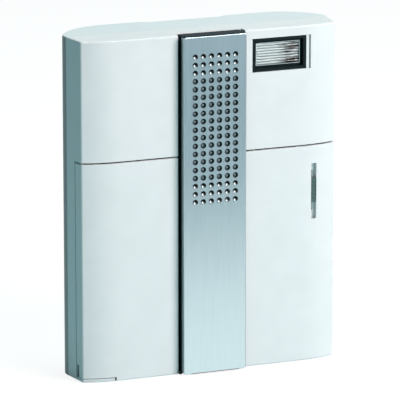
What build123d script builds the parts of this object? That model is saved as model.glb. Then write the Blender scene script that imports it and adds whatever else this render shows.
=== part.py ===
from build123d import *
import math
import os

# A wall-mounted doorbell chime box with a light signal. X runs to the right, Y from the front
# towards the wall, and Z up. The origin is the middle of the flat back, on the wall plane.
# Depths are measured back from the flat front, and heights from the middle of the box.

# Body outline, seen from above
body_height = 180.0
body_depth = 42.0
front_width = 141.4
side_flare = 2.85
front_flat_share = 0.7214
corner_setback = 3.65
widest_depth = 22.8
shoulder = 28.55
corner_round = 1.5
shoulder_round = 8.0
end_round = 0.8
wall = 2.2
end_wall = 1.8
parting_depth = 18.7
parting_gap = 0.25
overrun = 5.0

# Tongue that centres the front cover on the rear housing
tongue_gap = 0.2
tongue_wall = 1.2
tongue_reach = 2.0
tongue_root = 3.0

# Seam between the upper panel and the doors
seam_height = 26.3
seam_gap = 0.9

# Metal bar down the middle, its channel and its carrier
bar_width = 34.8
bar_proud = 5.0
bar_edge = 3.4
bar_sheet = 1.2
bar_top_gap = 0.1
bar_bottom_gap = 0.6
bar_edge_round = 0.7
bar_corner_round = 1.4
channel_half = 18.7
channel_depth = 6.5
channel_floor = 2.0
channel_end_depth = 5.0
carrier_half = 16.9
carrier_wall = 1.6
carrier_gap = 0.2
cloth_thick = 0.3
cloth_margin = 1.2
carrier_rib_heights = (-30.0, -55.0)
carrier_rib_drop = 1.0

# Sound holes
hole_radius = 1.52
hole_pitch_across = 4.46
hole_pitch_up = 4.25
hole_columns = 6
hole_rows = 13
dimple_rows = 3
hole_field_height = 40.85
dimple_deep = 0.85
window_margin = 1.6
window_round = 2.0

# Doors and their hinges
door_wall = 2.0
door_gap = 0.4
side_gap = 0.9
door_wrap_depth = 9.5
door_edge_round = 0.4
door_flange_wall = 1.5
door_flange_deep = 3.0
door_flange_inset = 1.2
door_flange_start = 25.6
hinge_across = 22.0
hinge_depth = 2.8
hinge_heights = (-2.5, -75.0)
knuckle_radius = 1.9
knuckle_long = 6.0
knuckle_gap = 0.3
ear_long = 4.0
ear_swing_gap = 0.35
ear_arm_near = 21.8
ear_arm_far = 24.3
ear_plate_depth = 7.2
pin_radius = 1.0
pin_running_gap = 0.06
pin_seat_gap = 0.02
latch_height = -30.9
latch_tall = 8.0
latch_near = 67.3
latch_thick = 1.3
latch_root_depth = 4.0
latch_root_end = 8.5
latch_tip_depth = 13.0
grip_height = 13.2
grip_edge = 67.2
grip_deep = 0.4
lip_edge = 54.0
lip_gap_tall = 6.5
lip_gap_wide = 2.4
lip_end_gap = 0.9

# Fixing of the cover
spine_wall = 2.0
spine_back = 18.2
spine_top = 5.0
spine_foot = 6.0
partition_back = 16.2
lug_end = 33.0
lug_half = 4.5
lug_thick = 2.0
cover_screw_across = 28.5
cover_screw_height = -30.0
hook_across = 45.0
hook_half = 4.0
hook_drop = 3.3
hook_thick = 1.6
hook_root_depth = 12.0
hook_tip_depth = 23.0

# Screws
screw_radius = 1.2
screw_head_radius = 2.6
screw_head_tall = 1.7
screw_cross_long = 3.0
screw_cross_wide = 0.6
screw_cross_deep = 0.8
bore_gap = 0.05
bar_screw_inset = 9.4
bar_screw_middle = -5.0
bar_screw_reach = 7.4
speaker_screw_across = 14.0
speaker_screw_up = 31.0
speaker_screw_reach = 3.2
cover_screw_reach = 9.0
board_screw_reach = 7.0

# Rear housing
recess_deep = 3.1
recess_half = 20.0
recess_ramp = 5.0
recess_bottom = 11.0
boss_radius = 3.6
post_radius = 2.6
wall_screw_across = 29.5
wall_screw_height = -66.0
wall_screw_radius = 2.25
hang_height = 73.0
hang_rise = 7.0
hang_head_radius = 4.5
entry_half = 9.5
entry_low = 12.5
entry_high = 25.5
wall_overrun = 1.0
grommet_wall = 2.0
grommet_lip = 1.4
grommet_lip_thick = 1.0
grommet_gap = 0.1

# Speaker
speaker_height = hole_field_height
speaker_radius = 28.5
speaker_lug_half = 18.0
speaker_lug_reach = 35.0
speaker_lug_round = 4.0
gasket_thick = 0.8
gasket_clear = 0.3
flange_thick = 1.0
basket_mouth = 24.6
basket_floor_radius = 14.5
basket_floor_depth = 20.0
basket_sheet = 1.0
magnet_radius = 15.0
magnet_bore = 7.2
magnet_deep = 5.0
yoke_radius = 15.6
yoke_thick = 2.5
pole_radius = 5.8
cone_rim_radius = 26.5
cone_fold_radius = 22.6
cone_throat_radius = 6.8
cone_throat_depth = 16.6
cone_thick = 0.4
cone_rim_depth = 8.9
coil_wall = 0.4
coil_gap = 0.02
coil_end_depth = 23.0
cap_radius = 8.6
cap_rise = 2.4
cap_gap = 0.06

# Light window
flash_left = 21.0
flash_right = 55.6
flash_drop = 4.9
flash_tall = 17.8
flash_recess = 3.2
surround_thick = 1.5
surround_reach = 2.0
surround_gap = 0.15
island_front = 0.3
island_gap = 1.1
frame_left = 22.9
frame_right = 52.9
frame_clear = 0.25
frame_front = 0.5
frame_wall = 1.5
frame_edge_round = 0.4
frame_flange_reach = 1.7
frame_flange_thick = 1.5
ledge_depth = 5.0
ledge_thick = 1.4
ledge_reach = 1.2
lens_thick = 1.6
lens_gap = 0.15
lens_rib_count = 10
lens_rib_proud = 0.4
reflector_back = 13.5
reflector_wall = 0.8
reflector_width = 25.6
reflector_tall = 13.0
tube_radius = 1.75
tube_depth = 10.2
tube_end_radius = 2.1
tube_end_long = 3.0
tube_seat_gap = 0.05

# Main board and what stands on it
board_depth = 24.0
board_thick = 1.6
board_left = 33.5
board_right = 67.6
board_low = -54.0
board_top_gap = 6.5
board_post_inset = 3.6
board_hole_radius = 1.3
receiver_left = -66.0
receiver_right = -36.0
receiver_low = 42.0
receiver_high = 78.0
receiver_can_margin = 6.5
receiver_can_tall = 4.0
receiver_can_round = 1.0

slot_across = 57.8
slot_middle = 1.35
slot_long = 30.0
slot_wide = 3.2
slot_round = 0.5
knob_front_depth = 0.85
knob_thick = 1.5
knob_wide = 2.5
knob_long = 12.9
knob_middle = 1.85
knob_round = 0.4
knob_ridges = 5
knob_ridge_deep = 0.3
stem_wide = 0.9
stem_long = 4.0
stem_end_height = 5.0
knob_travel_up = 7.7
knob_travel_down = 8.7
guide_front_depth = 3.3
guide_wide = 5.2
guide_wall = 1.0
guide_long = 42.3
shutter_long = 23.4
shutter_thick = 0.5
shutter_gap = 0.25
guide_slot_gap = 0.15
slider_tall = 7.0
slider_wide = 9.0
slider_long = 44.0
slider_slot_floor = 3.5
travel_gap = 0.6

dial_across = 42.5
dial_height = -10.0
dial_radius = 7.0
dial_front_height = 13.5
dial_back_height = 7.2
dial_grooves = 24
dial_groove_radius = 0.45
dial_mark_wide = 1.2
dial_mark_long = 5.0
dial_mark_deep = 0.6
dial_stem_radius = 3.0
dial_stem_end_height = 2.0
dial_body_half = 7.2
dial_body_tall = 6.7
running_gap = 0.06

learn_across = 42.5
learn_height = -32.0
learn_cap_radius = 3.6
learn_cap_front_height = 11.6
learn_cap_back_height = 6.4
learn_stem_radius = 1.7
learn_stem_end_height = 3.0
learn_body_half = 6.0
learn_body_tall = 5.4
learn_travel = 0.6
cap_round = 0.6

terminal_left = 40.5
terminal_right = 60.9
terminal_low = -52.5
terminal_high = -43.5
terminal_tall = 10.5
terminal_ways = 4
terminal_pitch = 5.08
terminal_bore = 2.0
terminal_bore_deep = 3.6
terminal_screw_gap = 0.15
terminal_screw_tall = 2.0
terminal_entry_wide = 3.4
terminal_entry_tall = 3.6
terminal_entry_deep = 5.0
terminal_entry_height = 4.8

chip_places = ((44.0, 41.0), (44.0, 15.0))
chip_wide = 7.6
chip_long = 17.8
chip_tall = 3.3
capacitor_places = ((58.0, 44.0), (58.0, 33.0))
capacitor_radius = 4.0
capacitor_tall = 11.5
capacitor_round = 0.5
resistor_places = ((39.0, -22.0), (53.5, -30.0), (53.5, -34.5), (39.5, 70.0))
resistor_radius = 1.1
resistor_long = 6.4
resistor_lift = 0.2
flash_can_middle = 52.0
flash_can_height = 59.5
flash_can_radius = 6.0
flash_can_long = 25.0
coil_core_across = 61.5
coil_core_height = 74.0
coil_core_radius = 3.6
coil_core_tall = 8.0

# Battery bay
cell_radius = 7.25
cell_long = 49.5
cell_nub_radius = 2.75
cell_nub_long = 1.0
cell_gap = 0.3
cell_middle = -50.7
cell_depth = 19.75
tray_wall = 1.5
tray_floor_gap = 0.1
tray_floor = 1.4
tray_front_depth = 15.5
tray_foot = 3.8
tray_end_wall = 1.6
tray_post_inset = 4.0
tray_post_heights = (-62.0, 2.0)
plate_wide = 10.0
plate_tall = 9.0
plate_thick = 0.4
spring_squeezed = 2.1
spring_base_radius = 4.6
spring_tip_radius = 2.4
cradle_height_share = 0.35

# Leads inside, and the tag that the speaker's leads start from
lead_radius = 0.7
lead_bend_share = 0.45
battery_lead_depth = 33.5
battery_lead_heights = (-42.0, -45.0)
battery_lead_left = -42.0
battery_lead_right = 38.5
speaker_lead_depth = 31.5
speaker_lead_across = (-1.5, 1.5)
speaker_lead_heights = (63.0, 60.0)
speaker_lead_right = 38.5
tag_half = 4.0
tag_tall = 3.0
tag_thick = 1.2
tag_height = 73.5

os.makedirs("parts", exist_ok=True)


def y_of(depth):
    """The place along Y of a depth behind the flat front."""
    return depth - body_depth


def facing(depth):
    """A plane that looks forward, at a depth behind the flat front."""
    return Plane.XZ.offset(body_depth - depth)


def side_half(depth):
    """Half the width between the flared side walls at a depth."""
    flare = side_flare / (widest_depth - corner_setback)
    return front_width / 2 + flare * (depth - corner_setback)


def plan_inside(inset, level):
    """The outline of the body seen from above, drawn in by an inset, at a level."""
    with BuildSketch(Plane.XY.offset(level)) as plan:
        with BuildLine():
            front = Line((0, y_of(0)), (front_width * front_flat_share / 2, y_of(0)))
            corner = (front_width / 2, y_of(corner_setback))
            bow = TangentArc(front @ 1, corner, tangent=front % 1)
            side = Line(bow @ 1, (rear_width / 2, y_of(widest_depth)))
            land = Line((0, 0), (rear_width / 2 - shoulder, 0))
            TangentArc(land @ 1, side @ 1, tangent=land % 1)
            mirror(about=Plane.YZ)
        make_face()
        if inset:
            offset(amount=-inset, kind=Kind.INTERSECTION)
    return plan.sketch


def block(across, depths, heights, mode=Mode.ADD):
    """A square-edged block between pairs of places across, in depth and in height."""
    wide = abs(across[1] - across[0])
    deep = depths[1] - depths[0]
    tall = heights[1] - heights[0]
    with Locations((sum(across) / 2, y_of(sum(depths) / 2), sum(heights) / 2)):
        Box(wide, deep, tall, mode=mode)


def post(places, depths, radius, mode=Mode.ADD):
    """Round posts or holes that run from front to back."""
    with BuildSketch(facing(depths[1])) as rounds:
        with Locations(*places):
            Circle(radius)
    extrude(rounds.sketch, amount=depths[1] - depths[0], mode=mode)


def upright(across, depth, heights, radius, mode=Mode.ADD):
    """A round bar or hole that runs straight up."""
    with BuildSketch(Plane.XY.offset(heights[0])) as end_face:
        with Locations((across, y_of(depth))):
            Circle(radius)
    extrude(end_face.sketch, amount=heights[1] - heights[0], mode=mode)


def window(across, depths, heights, rounding, mode=Mode.SUBTRACT):
    """A block with rounded corners, seen from the front."""
    with BuildSketch(facing(depths[1])) as pane:
        with Locations((sum(across) / 2, sum(heights) / 2)):
            RectangleRounded(across[1] - across[0], heights[1] - heights[0], rounding)
    extrude(pane.sketch, amount=depths[1] - depths[0], mode=mode)


def turned(middle, points):
    """A face turned about a front-to-back axis at (x, z), from (radius, depth) points."""
    across, up = middle
    with BuildSketch(Plane(origin=(across, 0, up), x_dir=(1, 0, 0), z_dir=(0, 0, 1))) as half:
        with BuildLine():
            Polyline(*[(radius, y_of(depth)) for radius, depth in points], close=True)
        make_face()
    revolve(half.sketch, axis=Axis((across, 0, up), (0, 1, 0)))


def screws(places, seat_depth, reach, forward):
    """Pan-head screws on one seat: forward is 1 where they are driven towards the front."""
    with BuildPart() as group:
        head = (seat_depth, seat_depth + forward * screw_head_tall)
        shank = (seat_depth - forward * reach, seat_depth)
        top = (head[1] - forward * screw_cross_deep, head[1] + forward * overrun)
        post(places, sorted(head), screw_head_radius)
        post(places, sorted(shank), screw_radius)
        with BuildSketch(facing(max(top))) as cross:
            with Locations(*places):
                Rectangle(screw_cross_long, screw_cross_wide)
                Rectangle(screw_cross_wide, screw_cross_long)
        extrude(cross.sketch, amount=abs(top[1] - top[0]), mode=Mode.SUBTRACT)
    return group.part


half_height = body_height / 2
bar_top = half_height - bar_top_gap
bar_bottom = -half_height + bar_bottom_gap
bar_screw_heights = (bar_top - bar_screw_inset, bar_screw_middle, bar_bottom + bar_screw_inset)
spine_bottom = -half_height + spine_foot
flash_high = half_height - flash_drop
flash_low = flash_high - flash_tall
frame_low = flash_low + frame_clear
frame_high = flash_high - frame_clear
board_high = half_height - board_top_gap
tray_low = -half_height + tray_foot
rear_width = front_width + 2 * side_flare
back_of_channel = channel_depth + channel_floor
cover_back = parting_depth - parting_gap
beyond = rear_width / 2 + overrun
whole_width = (-beyond, beyond)
whole_height = (-half_height - overrun, half_height + overrun)
upper_panel_low = seam_height + seam_gap / 2
door_top = seam_height - seam_gap / 2
hole_field_wide = (hole_columns - 1) * hole_pitch_across + 2 * hole_radius
hole_field_tall = (hole_rows - 1) * hole_pitch_up + 2 * hole_radius
sound_window_half = hole_field_wide / 2 + window_margin
sound_window_low = hole_field_height - hole_field_tall / 2 - window_margin
sound_window_high = hole_field_height + hole_field_tall / 2 + window_margin
bar_back = bar_edge - bar_proud
cloth_front = bar_sheet - bar_proud
carrier_front = cloth_front + cloth_thick
hinge_unit = knuckle_long + 2 * (knuckle_gap + ear_long)
flange_front = back_of_channel + gasket_thick
flange_back = flange_front + flange_thick
speaker_middle = (0, speaker_height)
speaker_screw_places = [
    (sideways * speaker_screw_across, speaker_height + upward * speaker_screw_up)
    for sideways in (-1, 1)
    for upward in (-1, 1)
]
cover_screw_places = [(side * cover_screw_across, cover_screw_height) for side in (-1, 1)]
bar_screw_places = [(0, height) for height in bar_screw_heights]
screw_bore = screw_radius + bore_gap
recess_floor_depth = body_depth - recess_deep
inner_back_depth = body_depth - wall
board_back = board_depth + board_thick
stem_end_depth = board_depth - stem_end_height
slider_front_depth = board_depth - slider_tall
slider_slot_end_depth = board_depth - slider_slot_floor
dial_front_depth = board_depth - dial_front_height
dial_back_depth = board_depth - dial_back_height
dial_stem_end_depth = board_depth - dial_stem_end_height
dial_body_front_depth = board_depth - dial_body_tall
learn_cap_front_depth = board_depth - learn_cap_front_height
learn_cap_back_depth = board_depth - learn_cap_back_height
learn_stem_end_depth = board_depth - learn_stem_end_height
learn_body_front_depth = board_depth - learn_body_tall
terminal_front_depth = board_depth - terminal_tall
terminal_entry_depth = board_depth - terminal_entry_height


def corner_places(across, heights):
    """The four screw places of a board, set in from its corners."""
    return [
        (along, up)
        for along in (across[0] + board_post_inset, across[1] - board_post_inset)
        for up in (heights[0] + board_post_inset, heights[1] - board_post_inset)
    ]


main_board_places = corner_places((board_left, board_right), (board_low, board_high))
receiver_places = corner_places((receiver_left, receiver_right), (receiver_low, receiver_high))
board_screw_places = main_board_places + receiver_places

# Battery bay: two columns of two cells, each with its spring and plates in a row of the tray
cell_reach = cell_radius + cell_gap / 2
tray_left = cell_middle - 2 * cell_reach - tray_wall
tray_right = cell_middle + 2 * cell_reach + tray_wall
tray_back = cell_depth + cell_radius + tray_floor_gap + tray_floor
row_long = cell_long + cell_nub_long + spring_squeezed + 2 * plate_thick
tray_rows = (tray_low + tray_end_wall, tray_low + 2 * tray_end_wall + row_long)
tray_high = tray_rows[1] + row_long + tray_end_wall
cell_columns = (cell_middle - cell_reach, cell_middle + cell_reach)
cell_layout = [
    (cell_columns[0], tray_rows[0], 1),
    (cell_columns[0], tray_rows[1], 1),
    (cell_columns[1], tray_rows[0], -1),
    (cell_columns[1], tray_rows[1], -1),
]
tray_post_places = [
    (along, up)
    for along in (tray_left + tray_post_inset, tray_right - tray_post_inset)
    for up in tray_post_heights
]
battery_lead_routes = [
    (
        (battery_lead_left, tray_back, up),
        (battery_lead_left, battery_lead_depth, up),
        (battery_lead_right, battery_lead_depth, up),
        (battery_lead_right, board_back, up),
    )
    for up in battery_lead_heights
]
speaker_lead_routes = [
    (
        (across, flange_back + tag_thick, tag_height),
        (across, speaker_lead_depth, tag_height),
        (speaker_lead_right, speaker_lead_depth, up),
        (speaker_lead_right, board_back, up),
    )
    for across, up in zip(speaker_lead_across, speaker_lead_heights)
]

# The rounded outer block, from which the housing, the cover and both doors are cut
with BuildPart() as body_block:
    extrude(plan_inside(0, -half_height), amount=body_height)
    upright_edges = body_block.edges().filter_by(Axis.Z)
    corner_level = y_of(corner_setback)
    front_corners = upright_edges.filter_by_position(
        Axis.Y, corner_level - corner_round, corner_level + corner_round
    )
    shoulder_level = y_of(widest_depth)
    side_corners = upright_edges.filter_by_position(
        Axis.Y, shoulder_level - corner_round, shoulder_level + corner_round
    )
    fillet(front_corners, corner_round)
    fillet(side_corners, shoulder_round)
    end_faces = body_block.faces().filter_by(Axis.Z)
    fillet(end_faces.edges(), end_round)

# Front cover: upper panel, side walls, bottom wall, and the spine that holds the bar
with BuildPart() as cover_cavity:
    extrude(plan_inside(wall, -half_height + end_wall), amount=body_height - 2 * end_wall)
    channel_outer = (-channel_half - channel_floor, channel_half + channel_floor)
    block(channel_outer, (0, back_of_channel), (upper_panel_low, half_height), Mode.SUBTRACT)
    block(
        (-channel_half, channel_half),
        (0, back_of_channel),
        (-half_height, upper_panel_low),
        Mode.SUBTRACT,
    )
    block(
        whole_width,
        (0, partition_back),
        (upper_panel_low, upper_panel_low + channel_floor),
        Mode.SUBTRACT,
    )
    block(
        (channel_half, flash_right + surround_reach),
        (0, flash_recess),
        (flash_low - surround_reach, half_height),
        Mode.SUBTRACT,
    )

side_layer = door_wrap_depth + side_gap
opening_low = -half_height + end_wall
swing_reach = math.hypot(hinge_across - channel_half, hinge_depth)
with BuildPart() as right_door_cut:
    block((channel_half, beyond), (-overrun, side_layer), (whole_height[0], opening_low))
    extrude(
        plan_inside(door_wall + door_gap, whole_height[0]),
        amount=whole_height[1] - whole_height[0],
        mode=Mode.SUBTRACT,
    )

with BuildPart() as front_cover:
    add(body_block.part)
    add(cover_cavity.part, mode=Mode.SUBTRACT)
    split(bisect_by=facing(cover_back), keep=Keep.TOP)
    channel_top = half_height - end_wall
    channel_heights = (whole_height[0], channel_top)
    block((-channel_half, channel_half), (-overrun, channel_depth), channel_heights, Mode.SUBTRACT)
    end_heights = (channel_top, whole_height[1])
    block((-channel_half, channel_half), (-overrun, channel_end_depth), end_heights, Mode.SUBTRACT)
    sound_window = (-sound_window_half, sound_window_half)
    window(
        sound_window,
        (channel_depth - overrun, back_of_channel),
        (sound_window_low, sound_window_high),
        window_round,
    )
    post([speaker_middle], (back_of_channel, parting_depth), speaker_radius + seam_gap, Mode.SUBTRACT)
    # Door openings: the front layer, then the sides down to the bottom wall
    front_layer = door_wall + door_gap
    block(
        (-lip_edge, -channel_half),
        (-overrun, front_layer),
        (whole_height[0], upper_panel_low),
        Mode.SUBTRACT,
    )
    block((-beyond, -channel_half), (-overrun, side_layer), (opening_low, upper_panel_low), Mode.SUBTRACT)
    block((channel_half, beyond), (-overrun, side_layer), (opening_low, upper_panel_low), Mode.SUBTRACT)
    add(right_door_cut.part, mode=Mode.SUBTRACT)
    # Light window
    block((flash_left, flash_right), (-overrun, flash_recess), (flash_low, flash_high), Mode.SUBTRACT)
    for side in (-1, 1):
        swing_room = (side * channel_half, side * hinge_across)
        swing_depths = (-overrun, hinge_depth + swing_reach + door_gap)
        block(swing_room, swing_depths, (whole_height[0], opening_low), Mode.SUBTRACT)
        spine_outer = side * channel_half
        spine_inner = side * (channel_half - spine_wall)
        block((spine_inner, spine_outer), (back_of_channel, spine_back), (spine_bottom, spine_top))
        for height in hinge_heights:
            unit = (height - hinge_unit / 2, height + hinge_unit / 2)
            plate = (ear_plate_depth, ear_plate_depth + channel_floor)
            block((spine_inner, side * ear_arm_far), plate, unit)
            for ear_low in (unit[0], unit[1] - ear_long):
                ear = (ear_low, ear_low + ear_long)
                arm = (side * ear_arm_near, side * ear_arm_far)
                block(arm, (hinge_depth, ear_plate_depth), ear)
                upright(side * hinge_across, hinge_depth, ear, knuckle_radius)
            pin_seat = pin_radius + pin_seat_gap
            upright(side * hinge_across, hinge_depth, unit, pin_seat, Mode.SUBTRACT)
        lug_heights = (cover_screw_height - lug_half, cover_screw_height + lug_half)
        block((spine_inner, side * lug_end), (spine_back - lug_thick, spine_back), lug_heights)
        hook_sides = (side * hook_across - hook_half, side * hook_across + hook_half)
        hook_top = half_height - end_wall
        block(hook_sides, (hook_root_depth, partition_back), (hook_top - hook_drop, hook_top))
        hook_heights = (hook_top - hook_drop, hook_top - hook_drop + hook_thick)
        block(hook_sides, (hook_root_depth, hook_tip_depth), hook_heights)
    post(cover_screw_places, (partition_back, spine_back), screw_bore, Mode.SUBTRACT)
    post(bar_screw_places, (channel_depth, back_of_channel), screw_bore, Mode.SUBTRACT)
    speaker_bore = (flange_back - speaker_screw_reach - bore_gap, back_of_channel)
    post(speaker_screw_places, speaker_bore, screw_bore, Mode.SUBTRACT)
front_cover.part.label = "front_cover"
export_step(front_cover.part, "parts/front_cover.step")

# Rear housing: deep shell with rounded shoulders, wall lands and an upper cable recess
tongue_inset = wall + tongue_gap
tongue_level = end_wall + tongue_gap
tongue_front = parting_depth - tongue_reach
tongue_back = parting_depth + tongue_root
tongue_inner_inset = tongue_inset + tongue_wall
tongue_inner_level = tongue_level + tongue_wall


def rim(inset, level, depths):
    """A frame inside the body's walls, from an inset to the tongue's inner face."""
    with BuildPart() as ring:
        extrude(plan_inside(inset, -half_height + level), amount=body_height - 2 * level)
        extrude(
            plan_inside(tongue_inner_inset, -half_height + tongue_inner_level),
            amount=body_height - 2 * tongue_inner_level,
            mode=Mode.SUBTRACT,
        )
        block(whole_width, (-overrun, depths[0]), whole_height, Mode.SUBTRACT)
        block(whole_width, (depths[1], body_depth + overrun), whole_height, Mode.SUBTRACT)
    return ring.part


def recess_plan(reach, depth, back_depth, level):
    """The cable recess seen from above, grown by a reach, from a depth to the back."""
    with BuildSketch(Plane.XY.offset(level)) as recess:
        with BuildLine():
            Polyline(
                (-recess_half - reach, y_of(depth)),
                (recess_half + reach, y_of(depth)),
                (recess_half + recess_ramp + reach, y_of(body_depth)),
                (recess_half + recess_ramp + reach, y_of(back_depth)),
                (-recess_half - recess_ramp - reach, y_of(back_depth)),
                (-recess_half - recess_ramp - reach, y_of(body_depth)),
                close=True,
            )
        make_face()
    return recess.sketch


tongue = rim(tongue_inset, tongue_level, (tongue_front, parting_depth))
tongue_seat = rim(wall / 2, end_wall / 2, (parting_depth, tongue_back))
hang_top = hang_height + hang_rise

with BuildPart() as rear_cavity:
    extrude(plan_inside(wall, -half_height + end_wall), amount=body_height - 2 * end_wall)
    recess_wall = recess_plan(
        wall, recess_floor_depth - wall, body_depth + overrun, recess_bottom - wall
    )
    extrude(recess_wall, amount=body_height, mode=Mode.SUBTRACT)

with BuildPart() as rear_housing:
    add(body_block.part)
    add(rear_cavity.part, mode=Mode.SUBTRACT)
    split(bisect_by=facing(parting_depth), keep=Keep.BOTTOM)
    post(cover_screw_places, (spine_back, body_depth), boss_radius)
    post(tray_post_places, (tray_back, body_depth), post_radius)
    post(board_screw_places, (board_back, body_depth), post_radius)
    add(body_block.part, mode=Mode.INTERSECT)
    add(tongue)
    add(tongue_seat)
    recess_cut = recess_plan(0, recess_floor_depth, body_depth + overrun, recess_bottom)
    extrude(recess_cut, amount=body_height, mode=Mode.SUBTRACT)
    cover_bore = (spine_back - overrun, spine_back - lug_thick + cover_screw_reach + bore_gap)
    post(cover_screw_places, cover_bore, screw_bore, Mode.SUBTRACT)
    board_bore = (board_back, board_depth + board_screw_reach + bore_gap)
    post(board_screw_places, board_bore, screw_bore, Mode.SUBTRACT)
    back_wall_cut = (inner_back_depth - wall_overrun, body_depth + overrun)
    wall_screws = [(side * wall_screw_across, wall_screw_height) for side in (-1, 1)]
    post(wall_screws, back_wall_cut, wall_screw_radius, Mode.SUBTRACT)
    recess_wall_cut = (recess_floor_depth - wall - wall_overrun, body_depth)
    post([(0, hang_height)], recess_wall_cut, hang_head_radius, Mode.SUBTRACT)
    post([(0, hang_top)], recess_wall_cut, wall_screw_radius, Mode.SUBTRACT)
    hang_slot = (-wall_screw_radius, wall_screw_radius)
    block(hang_slot, recess_wall_cut, (hang_height, hang_top), Mode.SUBTRACT)
    entry_heights = (entry_low, entry_high)
    block((-entry_half, entry_half), recess_wall_cut, entry_heights, Mode.SUBTRACT)
rear_housing.part.label = "rear_housing"
export_step(rear_housing.part, "parts/rear_housing.step")

# Rubber grommet round the wire entry
with BuildPart() as cable_grommet:
    grommet_half = entry_half - grommet_gap
    grommet_heights = (entry_low + grommet_gap, entry_high - grommet_gap)
    grommet_front = recess_floor_depth - wall - grommet_lip_thick
    lip_half = entry_half + grommet_lip
    lip_heights = (entry_low - grommet_lip, entry_high + grommet_lip)
    grommet_seat = recess_floor_depth - wall
    block((-grommet_half, grommet_half), (grommet_seat, recess_floor_depth), grommet_heights)
    block((-lip_half, lip_half), (grommet_front, grommet_seat), lip_heights)
    window(
        (-grommet_half + grommet_wall, grommet_half - grommet_wall),
        (grommet_front - overrun, recess_floor_depth + overrun),
        (grommet_heights[0] + grommet_wall, grommet_heights[1] - grommet_wall),
        window_round,
    )
cable_grommet.part.label = "cable_grommet"
export_step(cable_grommet.part, "parts/cable_grommet.step")


# Doors: one blank for both sides, then what only one of them has
def door_flange(side, low):
    """A stiffening flange behind a door panel that stops at the side wrap."""
    with BuildPart() as flange:
        extrude(plan_inside(door_wall / 2, low), amount=door_flange_wall)
        across = (side * door_flange_start, side * beyond)
        depths = (-overrun, door_wall + door_flange_deep)
        block(across, depths, (low, low + door_flange_wall), Mode.INTERSECT)
    return flange.part


def door_blank(side):
    """A door: curved panel, side wrap, flanges, latch tongue and hinge knuckles."""
    top_flange = door_flange(side, door_top - door_flange_inset - door_flange_wall)
    low_flange = door_flange(side, -half_height + end_wall + door_flange_inset)
    with BuildPart() as blank:
        add(body_block.part)
        extrude(
            plan_inside(door_wall, -half_height - overrun),
            amount=body_height + 2 * overrun,
            mode=Mode.SUBTRACT,
        )
        across = (side * channel_half, side * beyond)
        block(across, (-overrun, door_wrap_depth), (-half_height, door_top), Mode.INTERSECT)
        top_face = blank.faces().sort_by(Axis.Z)[-1]
        fillet(top_face.edges(), door_edge_round)
        add(top_flange)
        add(low_flange)
        latch_far = latch_near + latch_thick
        latch_heights = (latch_height - latch_tall / 2, latch_height + latch_tall / 2)
        latch_root = (side * latch_near, side * (side_half(latch_root_end) - door_wall / 2))
        block(latch_root, (latch_root_depth, latch_root_end), latch_heights)
        latch = (side * latch_near, side * latch_far)
        block(latch, (latch_root_depth, latch_tip_depth), latch_heights)
        for height in hinge_heights:
            knuckle = (height - knuckle_long / 2, height + knuckle_long / 2)
            pockets = (height - hinge_unit / 2 - knuckle_gap, height + hinge_unit / 2 + knuckle_gap)
            swing = knuckle_radius + ear_swing_gap
            upright(side * hinge_across, hinge_depth, pockets, swing, Mode.SUBTRACT)
            upright(side * hinge_across, hinge_depth, knuckle, knuckle_radius)
            web = (side * (hinge_across - pin_radius), side * (hinge_across + swing))
            block(web, (door_wall / 2, hinge_depth), knuckle)
            bore = pin_radius + pin_running_gap
            upright(side * hinge_across, hinge_depth, pockets, bore, Mode.SUBTRACT)
    return blank.part


left_blank = door_blank(-1)
right_blank = door_blank(1)

with BuildPart() as left_door:
    add(left_blank)
    lip_top = -half_height + end_wall + door_gap
    lip_cut = (whole_height[0], lip_top)
    lip_across = (-beyond, -lip_edge + lip_end_gap)
    block(lip_across, (-overrun, body_depth), lip_cut, Mode.SUBTRACT)
    lip_gap_depths = (door_wrap_depth - lip_gap_wide, body_depth)
    lip_gap = (-beyond, -side_half(0) + door_wall + door_wall)
    block(lip_gap, lip_gap_depths, (lip_top, lip_top + lip_gap_tall), Mode.SUBTRACT)
left_door.part.label = "left_door"
export_step(left_door.part, "parts/left_door.step")

with BuildPart() as grip_cut:
    grip_heights = (latch_height - grip_height / 2, latch_height + grip_height / 2)
    block((grip_edge, beyond), (-overrun, body_depth), grip_heights)
    extrude(
        plan_inside(grip_deep, -half_height - overrun),
        amount=body_height + 2 * overrun,
        mode=Mode.SUBTRACT,
    )

with BuildPart() as right_door:
    add(right_blank)
    add(grip_cut.part, mode=Mode.SUBTRACT)
    window(
        (slot_across - slot_wide / 2, slot_across + slot_wide / 2),
        (-overrun, hinge_depth + door_wall),
        (slot_middle - slot_long / 2, slot_middle + slot_long / 2),
        slot_round,
    )
right_door.part.label = "right_door"
export_step(right_door.part, "parts/right_door.step")

# Steel pins of the door hinges
with BuildPart() as hinge_pins:
    for side in (-1, 1):
        for height in hinge_heights:
            pin = (height - hinge_unit / 2, height + hinge_unit / 2)
            upright(side * hinge_across, hinge_depth, pin, pin_radius)
hinge_pins.part.label = "hinge_pins"
export_step(hinge_pins.part, "parts/hinge_pins.step")

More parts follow.
